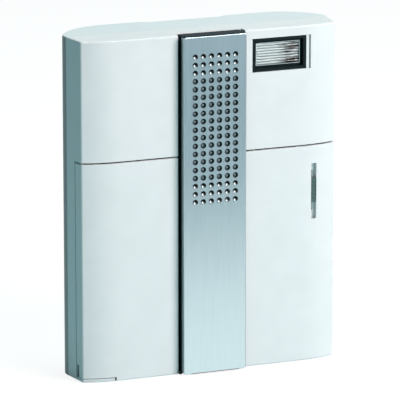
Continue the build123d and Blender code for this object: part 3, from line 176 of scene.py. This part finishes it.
def moulded(name, colour, roughness, texture=0.25, change=0.02, **sockets):
    """Moulded plastic: slow colour drift, fine spark texture."""
    drift, smoother, rougher = 14.0, 0.04, 0.05
    made = finish(name, colour, roughness, **sockets)
    gloss = (roughness - smoother, roughness + rougher)
    spread(made, grain(made, even(drift)), shades(colour, change), gloss)
    relief(made, grain(made, even(texture)), strength=0.10, depth=0.02)
    return made


def plated(name, colour, roughness):
    """Plated or turned steel with a little patina."""
    patina, change, smoother, rougher, tooling = 1.5, 0.10, 0.08, 0.10, 0.2
    made = finish(name, colour, roughness, 1.0)
    gloss = (roughness - smoother, roughness + rougher)
    spread(made, grain(made, even(patina)), shades(colour, change), gloss)
    relief(made, grain(made, even(tooling)), strength=0.08, depth=0.02)
    return made


def woven(name, colour, thread):
    """Plain woven cloth: threads across and up, one over the other."""
    wave_reach, waver, change, gloss = 0.314, 0.4, 0.45, (0.8, 0.95)
    made = finish(name, colour, roughness=0.9, Sheen_Weight=0.3)
    nodes, links = made.node_tree.nodes, made.node_tree.links
    where = nodes.new("ShaderNodeTexCoord")
    threads = []
    for direction in ("X", "Z"):
        wave = nodes.new("ShaderNodeTexWave")
        wave.bands_direction = direction
        wave.inputs["Scale"].default_value = wave_reach / (thread * mm)
        wave.inputs["Distortion"].default_value = waver
        links.new(where.outputs["Object"], wave.inputs["Vector"])
        threads.append(wave.outputs["Fac"])
    weave = worked(made, "MULTIPLY", *threads)
    spread(made, weave, shades(colour, change), gloss)
    relief(made, weave, strength=0.6, depth=0.1)
    return made


def brushed(name, colour, roughness, edge_tint):
    """Metal brushed lengthwise: long thin scratches over a slow drift."""
    drift, scratch = (0.16, 0.16, 22.0), (0.12, 0.12, 9.0)
    change, smoother, rougher = 0.07, 0.05, 0.07
    made = finish(name, colour, roughness, 1.0, Anisotropic=0.35, Specular_Tint=(*edge_tint, 1.0))
    gloss = (roughness - smoother, roughness + rougher)
    spread(made, grain(made, drift, 5.0), shades(colour, change), gloss)
    relief(made, grain(made, scratch, 4.0), strength=0.16, depth=0.02)
    return made


def clear(name, colour, roughness, ripple, ripple_strength, **sockets):
    """Clear glass or plastic with a faint ripple."""
    made = finish(name, colour, roughness, **sockets)
    relief(made, grain(made, even(ripple)), ripple_strength, depth=0.02)
    return made


def paint_bar_shade(made, face_depth, holes_half_wide, end_level):
    """Painted shade: dims the dimples, mostly at their upper right, the bar's two sides and its top
    edge.
    """
    lighter_across, lighter_up, skin = 0.6, 0.8, 0.03
    slope_span, slope_shares = (-0.10, 0.55), (0.02, 0.60)
    left_span, left_shares = (-0.95, -0.35), (0.75, 1.0)
    right_span, right_shares = (0.25, 0.75), (1.0, 0.25)
    top_span, top_shares = (0.35, 0.70), (1.0, 0.03)
    across, depth, up = split_ways(made, "Object")
    faces_across, _, faces_up = split_ways(made, "Normal")
    rise = worked(made, "MULTIPLY", faces_up, lighter_up)
    slope = worked(made, "MULTIPLY_ADD", faces_across, lighter_across, rise)
    reach = worked(made, "ABSOLUTE", across)
    beside = worked(made, "GREATER_THAN", reach, holes_half_wide * mm)
    flat = worked(made, "LESS_THAN", depth, (face_depth + skin - body_depth) * mm)
    clear_of_holes = worked(made, "MAXIMUM", beside, flat)
    dimples = worked(made, "MAXIMUM", eased(made, slope, slope_span, slope_shares), clear_of_holes)
    left = eased(made, faces_across, left_span, left_shares)
    right = eased(made, faces_across, right_span, right_shares)
    among = worked(made, "SUBTRACT", 1.0, beside)
    sides = worked(made, "MULTIPLY_ADD", worked(made, "MULTIPLY", left, right), beside, among)
    below = worked(made, "LESS_THAN", up, end_level * mm)
    end = worked(made, "MAXIMUM", eased(made, faces_up, top_span, top_shares), below)
    dimmed(made, worked(made, "MULTIPLY", dimples, worked(made, "MULTIPLY", sides, end)))


def paint_side_shade(made, least):
    """Painted shade: dims the faces that look left or right down to a share."""
    side_span = (0.4, 0.9)
    faces_across, _, _ = split_ways(made, "Normal")
    reach = worked(made, "ABSOLUTE", faces_across)
    dimmed(made, eased(made, reach, side_span, (1.0, least)))


def streaked(made, start, end):
    """Painted shade: dark level streaks that set in between two places across."""
    streak_sizes, streak_span = (9.0, 9.0, 1.1), (0.38, 0.54)
    across, _, _ = split_ways(made, "Object")
    onset = eased(made, across, (start * mm, end * mm))
    streak = eased(made, grain(made, streak_sizes, 2.0), streak_span)
    dimmed(made, worked(made, "SUBTRACT", 1.0, worked(made, "MULTIPLY", onset, streak)))


def two_tone(name, front, back, roughness, depth):
    """Plastic in one colour down to a depth behind the flat front, and another beyond it."""
    made = moulded(name, front, roughness)
    _, piece_depth, _ = split_ways(made, "Object")
    beyond = worked(made, "GREATER_THAN", piece_depth, (depth - body_depth) * mm)
    coloured(made, beyond, (0.0, 1.0), (front, back))
    return made


def lined(made, pitch, start, colours, share):
    """Painted shade: dark level lines along the height, one a pitch, as wide as a share of the pitch.
    """
    half_pitch = 0.5
    _, _, up = split_ways(made, "Object")
    along = worked(made, "MULTIPLY_ADD", up, 1 / (pitch * mm), -start / pitch)
    nearest = worked(made, "PINGPONG", along, half_pitch)
    coloured(made, nearest, (share / 2, share), colours)


def banded(name, colours, roughness, levels):
    """A sleeve that changes colour halfway between two levels."""
    made = moulded(name, colours[0], roughness)
    _, _, up = split_ways(made, "Object")
    halfway = eased(made, up, [level * mm for level in levels])
    coloured(made, halfway, (0.0, 0.5), colours, blend="CONSTANT")
    return made


# Finishes of the body
white = moulded("moulded_white", (0.79, 0.80, 0.80), 0.5, Specular_IOR_Level=0.3)
inner_white = moulded("inner_white", (0.775, 0.79, 0.79), 0.5, Specular_IOR_Level=0.3)
housing_white = moulded("housing_white", (0.74, 0.79, 0.80), 0.5, Specular_IOR_Level=0.3)
# Painted shade on the housing's faces that look left or right
paint_side_shade(housing_white, least=0.42)
bar_metal = brushed("brushed_bar", (0.58, 0.73, 0.755), 0.36, (0.30, 0.45, 0.50))
# Painted shade on the bar's dimples, sides and top edge
paint_bar_shade(bar_metal, face_depth=-5.0, holes_half_wide=13.5, end_level=88.6)
black = moulded("black_plastic", (0.012, 0.018, 0.020), 0.38)
frame_black = moulded("frame_black", (0.004, 0.012, 0.014), 0.5, Specular_IOR_Level=0.12)
carrier_grey = moulded("carrier_grey", (0.010, 0.022, 0.028), 0.6, Specular_IOR_Level=0.06)
tray_black = moulded("tray_black", (0.03, 0.032, 0.035), 0.5)
cloth = woven("speaker_cloth", (0.016, 0.032, 0.037), 0.35)
# A lighter copy of the speaker cloth for the domes in the sound holes: a painted highlight
cloth_highlight = woven("cloth_highlight", (0.22, 0.31, 0.33), 0.35)
# Grey of the lens rim: a painted highlight
rim_highlight = moulded("rim_highlight", (0.42, 0.50, 0.52), 0.4)
rubber = moulded("soft_rubber", (0.025, 0.025, 0.027), 0.7, texture=0.6)

# Finishes of the speaker, fasteners and contacts
zinc = plated("plated_steel", (0.66, 0.66, 0.67), 0.32)
nickel = plated("spring_nickel", (0.72, 0.70, 0.66), 0.25)
basket_black = moulded("basket_enamel", (0.03, 0.03, 0.034), 0.38)
yoke_steel = plated("yoke_steel", (0.58, 0.58, 0.60), 0.36)
ferrite = moulded("magnet_ferrite", (0.06, 0.06, 0.065), 0.6, texture=0.5, change=0.15)
paper = woven("cone_paper", (0.055, 0.055, 0.058), 0.25)
copper = plated("coil_copper", (0.72, 0.36, 0.20), 0.35)

# Finishes of the light window: painted shade as a dark line at each rib of the lens, and as dark
# streaks at the right of the lens and of the reflector
lens_low, lens_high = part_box("flash_lens")
lens_ribs, line_share = 10, 0.15
rib_shade, line_clear = (0.10, 0.17, 0.18), (0.88, 0.98, 0.97)
rib_pitch = (lens_high.z - lens_low.z) / mm / lens_ribs
lens = clear(
    "clear_lens", (0.93, 0.96, 0.97), 0.10, ripple=2.0, ripple_strength=0.05,
    Transmission_Weight=0.5, IOR=1.49,
)
lined(lens, rib_pitch, lens_low.z / mm, (rib_shade, line_clear), line_share)
streaked(lens, start=37.0, end=43.0)
tube_glass = clear(
    "tube_glass", (0.95, 0.97, 0.98), 0.03, ripple=1.5, ripple_strength=0.04,
    Transmission_Weight=0.9, IOR=1.5,
)
ceramic = moulded("tube_end", (0.72, 0.71, 0.66), 0.5)
bright = plated("bright_reflector", (0.90, 0.93, 0.93), 0.42)
# Painted shade: dark streaks at the reflector's right
streaked(bright, start=38.5, end=45.0)

# Finishes of the boards and controls
board_green = moulded("circuit_board", (0.035, 0.16, 0.06), 0.3, texture=0.5, change=0.2)
tag_board = moulded("tag_board", (0.30, 0.18, 0.07), 0.5, texture=0.5, change=0.15)
sleeve = moulded("capacitor_sleeve", (0.02, 0.035, 0.11), 0.3)
resistor_tan = moulded("resistor_lacquer", (0.56, 0.40, 0.24), 0.35, change=0.1)
winding = plated("winding_copper", (0.62, 0.27, 0.12), 0.4)
slot_pale = (0.90, 0.95, 0.94)
knob_back = 3.0
guide_grey = moulded("guide_grey", slot_pale, 0.5)
knob_grey = two_tone("knob_grey", (0.055, 0.115, 0.105), slot_pale, 0.5, knob_back)
dial_white = moulded("dial_white", (0.62, 0.63, 0.61), 0.45)
button_red = moulded("button_red", (0.48, 0.03, 0.025), 0.3, Coat_Weight=0.3)
terminal_green = moulded("terminal_green", (0.03, 0.24, 0.09), 0.32)
lead_red = moulded("lead_jacket", (0.42, 0.02, 0.018), 0.4)

# Battery cells: the first two stand with their gold end up, the others with it down
gold, navy = (0.66, 0.46, 0.17), (0.03, 0.05, 0.09)
cell_numbers = range(1, 5)
last_upward = 2
band_shift = 14.0
cell_jackets = {}
for number in cell_numbers:
    low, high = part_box(f"battery_cell_{number}")
    upward = number <= last_upward
    shift = band_shift if upward else -band_shift
    colours = (navy, gold) if upward else (gold, navy)
    levels = (low.z / mm + shift, high.z / mm + shift)
    cell_jackets[number] = banded(f"cell_jacket_{number}", colours, 0.28, levels)

finishes = {
    white: ("front_cover", "left_door", "right_door"),
    housing_white: ("rear_housing",),
    inner_white: ("flash_surround",),
    bar_metal: ("bar_trim",),
    carrier_grey: ("bar_carrier",),
    frame_black: ("flash_frame",),
    black: ("chips", "dial_switch", "slider_body", "learn_switch"),
    tray_black: ("battery_tray",),
    cloth: ("grille_cloth",),
    zinc: (
        "hinge_pins", "bar_screws", "cover_screws",
        "speaker_screws", "board_screws", "terminal_screws",
    ),
    nickel: ("battery_plates", "battery_springs"),
    basket_black: ("speaker_basket",),
    yoke_steel: ("speaker_yoke", "receiver_can"),
    ferrite: ("speaker_magnet",),
    paper: ("speaker_cone", "dust_cap"),
    copper: ("voice_coil",),
    rubber: ("speaker_gasket", "cable_grommet"),
    lens: ("flash_lens",),
    tube_glass: ("flash_tube",),
    ceramic: ("flash_tube_ends",),
    bright: ("flash_reflector",),
    board_green: ("main_board", "receiver_board"),
    tag_board: ("speaker_tag",),
    sleeve: ("capacitors", "flash_capacitor"),
    resistor_tan: ("resistors",),
    winding: ("trigger_coil",),
    guide_grey: ("slider_guide",),
    knob_grey: ("volume_knob",),
    dial_white: ("melody_dial",),
    button_red: ("learn_button",),
    terminal_green: ("terminal_block",),
    lead_red: ("battery_leads", "speaker_leads"),
}
for number, jacket in cell_jackets.items():
    finishes[jacket] = (f"battery_cell_{number}",)
for made, names in finishes.items():
    for name in names:
        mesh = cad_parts[name].data
        mesh.materials.clear()
        mesh.materials.append(made)


# Shapes of new pieces

def piece(name, shape, made, body, smooth=True):
    """Turns a bmesh into a named piece with a finish, on a body."""
    same_point = 0.00001
    bmesh.ops.remove_doubles(shape, verts=shape.verts, dist=same_point * mm)
    bmesh.ops.recalc_face_normals(shape, faces=shape.faces)
    mesh = bpy.data.meshes.new(name)
    shape.to_mesh(mesh)
    shape.free()
    for face in mesh.polygons:
        face.use_smooth = smooth
    mesh.materials.append(made)
    made_piece = bpy.data.objects.new(name, mesh)
    bpy.context.scene.collection.objects.link(made_piece)
    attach(made_piece, body)
    return made_piece


def block(shape, across, depths, levels, edge=0.0):
    """A block from its two ends across, in depth and in height, bevelled where edge says so."""
    start, end = sorted(across)
    low, high = place(start, depths[0], levels[0]), place(end, depths[1], levels[1])
    middle, size = (low + high) / 2, high - low
    made = bmesh.ops.create_cube(
        shape, size=1.0, matrix=Matrix.Translation(middle) @ Matrix.Diagonal((*size, 1.0))
    )
    if edge:
        edges = {link for vert in made["verts"] for link in vert.link_edges}
        bmesh.ops.bevel(
            shape, geom=list(edges), offset=edge * mm, segments=2,
            profile=0.5, affect="EDGES", material=-1,
        )


def border(shape, left, bottom, right, top, wide, depths):
    """Four bars along the inside of a rectangle."""
    block(shape, (left, left + wide), depths, (bottom, top))
    block(shape, (right - wide, right), depths, (bottom, top))
    block(shape, (left + wide, right - wide), depths, (bottom, bottom + wide))
    block(shape, (left + wide, right - wide), depths, (top - wide, top))


def turned_shape(shape, centre, axis, outline, steps=40):
    """A closed outline of (radius, along) points in millimetres, spun round an axis."""
    side = axis.orthogonal().normalized()
    verts = [
        shape.verts.new(centre + side * radius * mm + axis * along * mm)
        for radius, along in outline
    ]
    edges = [shape.edges.new((verts[i - 1], verts[i])) for i in range(len(verts))]
    bmesh.ops.spin(
        shape, geom=verts + edges, cent=centre, axis=axis,
        angle=full_turn, steps=steps, use_merge=True,
    )


def spring_shape(shape, foot, axis, height, wide, narrow, wire, turns):
    """A cone spring: a round wire spun round its axis while it climbs, then drawn in."""
    steps_a_turn, wire_sides = 28, 8
    steps = steps_a_turn * turns
    side = axis.orthogonal().normalized()
    across = axis.cross(side)
    climb = (height - 2 * wire) * mm
    start = bmesh.ops.create_circle(
        shape, cap_ends=True, radius=wire * mm, segments=wire_sides,
        matrix=Matrix.Translation(foot + side * wide * mm + axis * wire * mm)
        @ across.to_track_quat("Z", "Y").to_matrix().to_4x4(),
    )
    faces = list({face for vert in start["verts"] for face in vert.link_faces})
    edges = list({edge for vert in start["verts"] for edge in vert.link_edges})
    bmesh.ops.spin(
        shape, geom=start["verts"] + edges + faces, cent=foot, axis=axis,
        dvec=axis * climb / steps, angle=full_turn * turns, steps=steps,
    )
    own_verts = [vert for vert in shape.verts if (vert.co - foot).length < 2 * wide * mm]
    for vert in own_verts:
        rise = (vert.co - foot).dot(axis)
        radial = (vert.co - foot) - axis * rise
        share = min(max((rise - wire * mm) / climb, 0.0), 1.0)
        wanted = 1 - share * (1 - narrow / wide)
        middle = radial.normalized() * wide * mm
        vert.co += middle * (wanted - 1)


to_front = Vector((0, -1, 0))
both_sides = (-1, 1)

# Battery springs: wound cone springs in place of the plain cones
spring_wide, spring_narrow, spring_wire = 4.2, 2.3, 0.28
spring_height, spring_turns = 2.1, 3
springs = bmesh.new()
for number in cell_numbers:
    low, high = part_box(f"battery_cell_{number}")
    middle = (low + high) / 2
    upward = 1 if number <= last_upward else -1
    foot_level = low.z - spring_height * mm if upward > 0 else high.z + spring_height * mm
    foot = Vector((middle.x, middle.y, foot_level))
    spring_shape(
        springs, foot, Vector((0, 0, upward)), spring_height,
        spring_wide, spring_narrow, spring_wire, spring_turns,
    )
contact_springs = piece("contact_springs", springs, nickel, "chime_box")
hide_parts("battery_springs")

# Trigger coil: bobbin with flanges and a ridged winding
low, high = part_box("trigger_coil")
bobbin_radius, bobbin_tall, flange, rows = 3.6, 8.0, 0.7, 9
groove_radius, ridge_radius = bobbin_radius - 0.75, bobbin_radius - 0.4
foot = Vector(((low.x + high.x) / 2, high.y, (low.z + high.z) / 2))
outline = [(0.0, 0.0), (bobbin_radius, 0.0), (bobbin_radius, flange)]
row = (bobbin_tall - 2 * flange) / rows
for turn in range(rows):
    outline += [(groove_radius, flange + row * turn), (ridge_radius, flange + row * (turn + 0.5))]
outline += [
    (groove_radius, bobbin_tall - flange), (bobbin_radius, bobbin_tall - flange),
    (bobbin_radius, bobbin_tall), (0.0, bobbin_tall),
]
coil = bmesh.new()
turned_shape(coil, foot, to_front, outline)
wound_coil = piece("wound_coil", coil, winding, "chime_box", smooth=False)
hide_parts("trigger_coil")

# Chip pins: bent legs along both long sides
board_depth = 24.0
pin_wide, pin_thick, pin_foot, pin_edge = 0.5, 0.3, 0.35, 0.06
pin_pitch, pin_reach = 2.54, 1.5
chip_half_wide, pins_a_side, chip_top = 3.8, 7, 1.4
chip_places = ((44.0, 41.0), (44.0, 15.0))
pin_shoulder = board_depth - chip_top
pins = bmesh.new()
for across, up in chip_places:
    for side in both_sides:
        for pin in range(pins_a_side):
            level = up + (pin - (pins_a_side - 1) / 2) * pin_pitch
            levels = (level - pin_wide / 2, level + pin_wide / 2)
            inner = across + side * chip_half_wide
            outer = inner + side * pin_reach
            block(pins, (inner, outer), (pin_shoulder - pin_thick, pin_shoulder), levels, pin_edge)
            block(pins, (outer - side * pin_foot, outer), (pin_shoulder, board_depth), levels, pin_edge)
piece("chip_pins", pins, zinc, "chime_box", smooth=False)

# Resistor legs: out of each end, then down to the board
leg, leg_reach, leg_edge = 0.3, 1.3, 0.1
resistor_half, resistor_axis = 3.2, 22.7
resistor_places = ((39.0, -22.0), (53.5, -30.0), (53.5, -34.5), (39.5, 70.0))
legs = bmesh.new()
for across, up in resistor_places:
    for side in both_sides:
        levels = (up - leg, up + leg)
        inner = across + side * resistor_half
        outer = inner + side * leg_reach
        block(legs, (inner, outer), (resistor_axis - leg, resistor_axis + leg), levels, leg_edge)
        block(legs, (outer - side * 2 * leg, outer), (resistor_axis, board_depth), levels, leg_edge)
piece("resistor_legs", legs, zinc, "chime_box", smooth=False)

# Bright tops of the two upright capacitors, each with a bevelled rim
top_radius, top_depth, top_sunk, top_rise = 3.3, 12.5, -0.2, 0.16
top_bevel, bevel_foot = 0.3, 0.08
capacitor_places = ((58.0, 44.0), (58.0, 33.0))
top_outline = [
    (0.0, top_sunk), (top_radius, top_sunk), (top_radius, bevel_foot),
    (top_radius - top_bevel, top_rise), (0.0, top_rise),
]
tops = bmesh.new()
for across, up in capacitor_places:
    turned_shape(tops, place(across, top_depth, up), to_front, top_outline)
piece("capacitor_tops", tops, zinc, "chime_box", smooth=False)

# Cloth pressed a little way into each sound hole, as a low dome, in a lighter copy of the dark cloth: a
# painted highlight at the middle of each hole
hole_columns, hole_rows = 6, 13
hole_pitch_across, hole_pitch_up, hole_middle = 4.46, 4.25, 40.85
cloth_front, dome_steps = -3.8, 20
dome_outline = [
    (0.0, 0.0), (0.75, 0.0), (0.75, 0.06), (0.62, 0.24),
    (0.42, 0.38), (0.2, 0.46), (0.0, 0.5),
]
bulges = bmesh.new()
for column in range(hole_columns):
    for row in range(hole_rows):
        across = (column - (hole_columns - 1) / 2) * hole_pitch_across
        up = hole_middle + (row - (hole_rows - 1) / 2) * hole_pitch_up
        turned_shape(bulges, place(across, cloth_front, up), to_front, dome_outline, dome_steps)
piece("cloth_bulges", bulges, cloth_highlight, "chime_box")

# Thin bright rim just in front of the lens's ribs, a painted highlight for the reflection at the lens's
# edge, and a black mask from it out to the frame
rim_inset, rim_wide, rim_front, rim_thick = 1.0, 0.35, 2.55, 0.4
rim_back = rim_front + rim_thick
left, right = lens_low.x / mm, lens_high.x / mm
bottom, top = lens_low.z / mm, lens_high.z / mm
rim = bmesh.new()
border(
    rim, left + rim_inset, bottom + rim_inset, right - rim_inset, top - rim_inset,
    rim_wide, (rim_front, rim_back),
)
mask = bmesh.new()
border(mask, left, bottom, right, top, rim_inset, (rim_front + rim_thick / 2, rim_back))
piece("lens_mask", mask, frame_black, "chime_box", smooth=False)
piece("lens_rim", rim, rim_highlight, "chime_box", smooth=False)

# Rubber buffers in the left door's side gap and at the end of its lip, in the frame's dull black rather
# than the rubber finish so that they keep the gap's dark: partly painted shade
rubber_edge = 0.1
gap_buffer = ((-70.4, -68.6), (7.3, 10.38), (-88.15, -81.5))
lip_buffer = ((-53.95, -53.15), (0.6, 2.3), (-89.8, -87.95))
buffers = bmesh.new()
for across, depths, levels in (gap_buffer, lip_buffer):
    block(buffers, across, depths, levels, rubber_edge)
piece("door_buffers", buffers, frame_black, "chime_box", smooth=False)

# Rubber stops at the foot of the gaps beside the bar
stop_inner, stop_outer = 16.98, 18.62
stop_depths, stop_levels = (-1.5, 6.4), (-89.7, -87.8)
stops = bmesh.new()
for side in both_sides:
    block(stops, (side * stop_inner, side * stop_outer), stop_depths, stop_levels, rubber_edge)
piece("channel_stops", stops, frame_black, "chime_box", smooth=False)

# Pointer set into the dial's mark
pointer_across, pointer_depths, pointer_levels = (41.98, 43.02), (10.55, 11.05), (-9.9, -5.1)
pointer_edge = 0.1
pointer = bmesh.new()
block(pointer, pointer_across, pointer_depths, pointer_levels, pointer_edge)
piece("dial_pointer", pointer, button_red, "melody_dial", smooth=False)


# Stage: floor, world, reflection cards, lamps and camera

def white_to_sight(made, lit, glow):
    """A surface or world as lit, with a white in its place for camera, glossy and glass rays."""
    nodes, links = made.node_tree.nodes, made.node_tree.links
    path = nodes.new("ShaderNodeLightPath")
    seen = path.outputs["Is Camera Ray"]
    for ray in ("Is Glossy Ray", "Is Transmission Ray"):
        seen = worked(made, "MAXIMUM", seen, path.outputs[ray])
    choice = nodes.new("ShaderNodeMixShader")
    links.new(seen, choice.inputs["Fac"])
    links.new(lit, choice.inputs[1])
    links.new(glow, choice.inputs[2])
    return choice.outputs["Shader"]


def matt_paint(made, colour):
    """A matt surface in one colour."""
    paint = made.node_tree.nodes.new("ShaderNodeBsdfDiffuse")
    paint.inputs["Color"].default_value = (*colour, 1.0)
    return paint.outputs["BSDF"]


def even_sky(made, colour, strength):
    """A sky in one colour all round."""
    background = made.node_tree.nodes.new("ShaderNodeBackground")
    background.inputs["Color"].default_value = (*colour, 1.0)
    background.inputs["Strength"].default_value = strength
    return background.outputs["Background"]


def flat_sheets(name, made, half_size, moves):
    """Flat square sheets as one object, each moved by a matrix."""
    shape = bmesh.new()
    for move in moves:
        bmesh.ops.create_grid(shape, x_segments=1, y_segments=1, size=half_size, matrix=move)
    mesh = bpy.data.meshes.new(name)
    shape.to_mesh(mesh)
    shape.free()
    mesh.materials.append(made)
    sheets = bpy.data.objects.new(name, mesh)
    bpy.context.scene.collection.objects.link(sheets)
    return sheets


def soft_lamp(name, where, size, power, colour):
    """A square soft lamp aimed at the middle of the box."""
    data = bpy.data.lights.new(name, "AREA")
    data.size = size
    data.energy = power
    data.color = colour
    lamp = bpy.data.objects.new(name, data)
    bpy.context.scene.collection.objects.link(lamp)
    lamp.location = where
    lamp.rotation_euler = (-Vector(where)).to_track_quat("-Z", "Y").to_euler()


# Floor: blue-green where it lights the box, and near white where it is seen
floor_level, floor_half, floor_glow = -0.0903, 4.0, 0.88
floor_tint, floor_shadow = (0.40, 0.72, 0.76), (0.22, 0.22, 0.22)
pale = bpy.data.materials.new("pale_floor")
pale.use_nodes = True
nodes, links = pale.node_tree.nodes, pale.node_tree.links
nodes.clear()
glow = nodes.new("ShaderNodeEmission")
glow.inputs["Strength"].default_value = floor_glow
seen_floor = nodes.new("ShaderNodeAddShader")
links.new(matt_paint(pale, floor_shadow), seen_floor.inputs[0])
links.new(glow.outputs["Emission"], seen_floor.inputs[1])
out = nodes.new("ShaderNodeOutputMaterial")
lit_floor = matt_paint(pale, floor_tint)
links.new(white_to_sight(pale, lit_floor, seen_floor.outputs["Shader"]), out.inputs["Surface"])
floor = flat_sheets("floor", pale, floor_half, [Matrix.Translation((0, 0, floor_level))])

# World: a dim blue-green fill, and white where it is seen
fill_tint, fill_strength = (0.47, 0.90, 1.0), 0.13
world = bpy.data.worlds.new("studio")
bpy.context.scene.world = world
world.use_nodes = True
nodes, links = world.node_tree.nodes, world.node_tree.links
nodes.clear()
fill = even_sky(world, fill_tint, fill_strength)
plain = even_sky(world, colour=(1.0, 1.0, 1.0), strength=1.0)
out = nodes.new("ShaderNodeOutputWorld")
links.new(white_to_sight(world, fill, plain), out.inputs["Surface"])

# Grey cards in front of the box, one lying and one standing farther out, which only gloss shows
card_half, card_across, card_wide = 0.5, 0.30, 2.2
flat_place, flat_long = (card_across, -1.10, -0.088), 1.6
upright_place, upright_tall = (card_across, -1.90, 0.11), 0.40
card_grey = finish(
    "card_grey", (0.05, 0.09, 0.11), 1.0,
    Emission_Color=(0.01, 0.07, 0.11, 1.0), Emission_Strength=1.0,
)
card = flat_sheets("card", card_grey, card_half, [
    Matrix.Translation(flat_place) @ Matrix.Diagonal((card_wide, flat_long, 1.0, 1.0)),
    Matrix.Translation(upright_place) @ Matrix.Rotation(full_turn / 4, 4, "X")
    @ Matrix.Diagonal((card_wide, upright_tall, 1.0, 1.0)),
])
card.visible_camera = False
card.visible_diffuse = False
card.visible_shadow = False
card.visible_transmission = False

# Key lamp in front at the right, and a dimmer one from above
soft_lamp("key", (0.78, -1.24, 0.70), size=0.9, power=26.6, colour=(1.0, 0.89, 0.885))
soft_lamp("top", (0.25, 0.10, 1.30), size=0.7, power=8.5, colour=(0.79, 1.0, 1.0))

# Camera at the photograph's angle: heading to the right, looking a little down
heading, tilt = math.radians(22.0), math.radians(13.81)
distance, focal_pixels, frame_pixels = 2.098, 4011.0, 400.0
target = Vector((0.00193, -0.021, -0.00309))
forward = Vector((
    math.sin(heading) * math.cos(tilt),
    math.cos(heading) * math.cos(tilt),
    -math.sin(tilt),
))
camera_data = bpy.data.cameras.new("camera")
camera_data.sensor_width = 36.0
camera_data.lens = camera_data.sensor_width * focal_pixels / frame_pixels
camera_data.clip_end = 20.0
camera = bpy.data.objects.new("camera", camera_data)
bpy.context.scene.collection.objects.link(camera)
camera.location = target - forward * distance
camera.rotation_euler = forward.to_track_quat("-Z", "Y").to_euler()
bpy.context.scene.camera = camera
bpy.context.scene.view_settings.view_transform = "Standard"
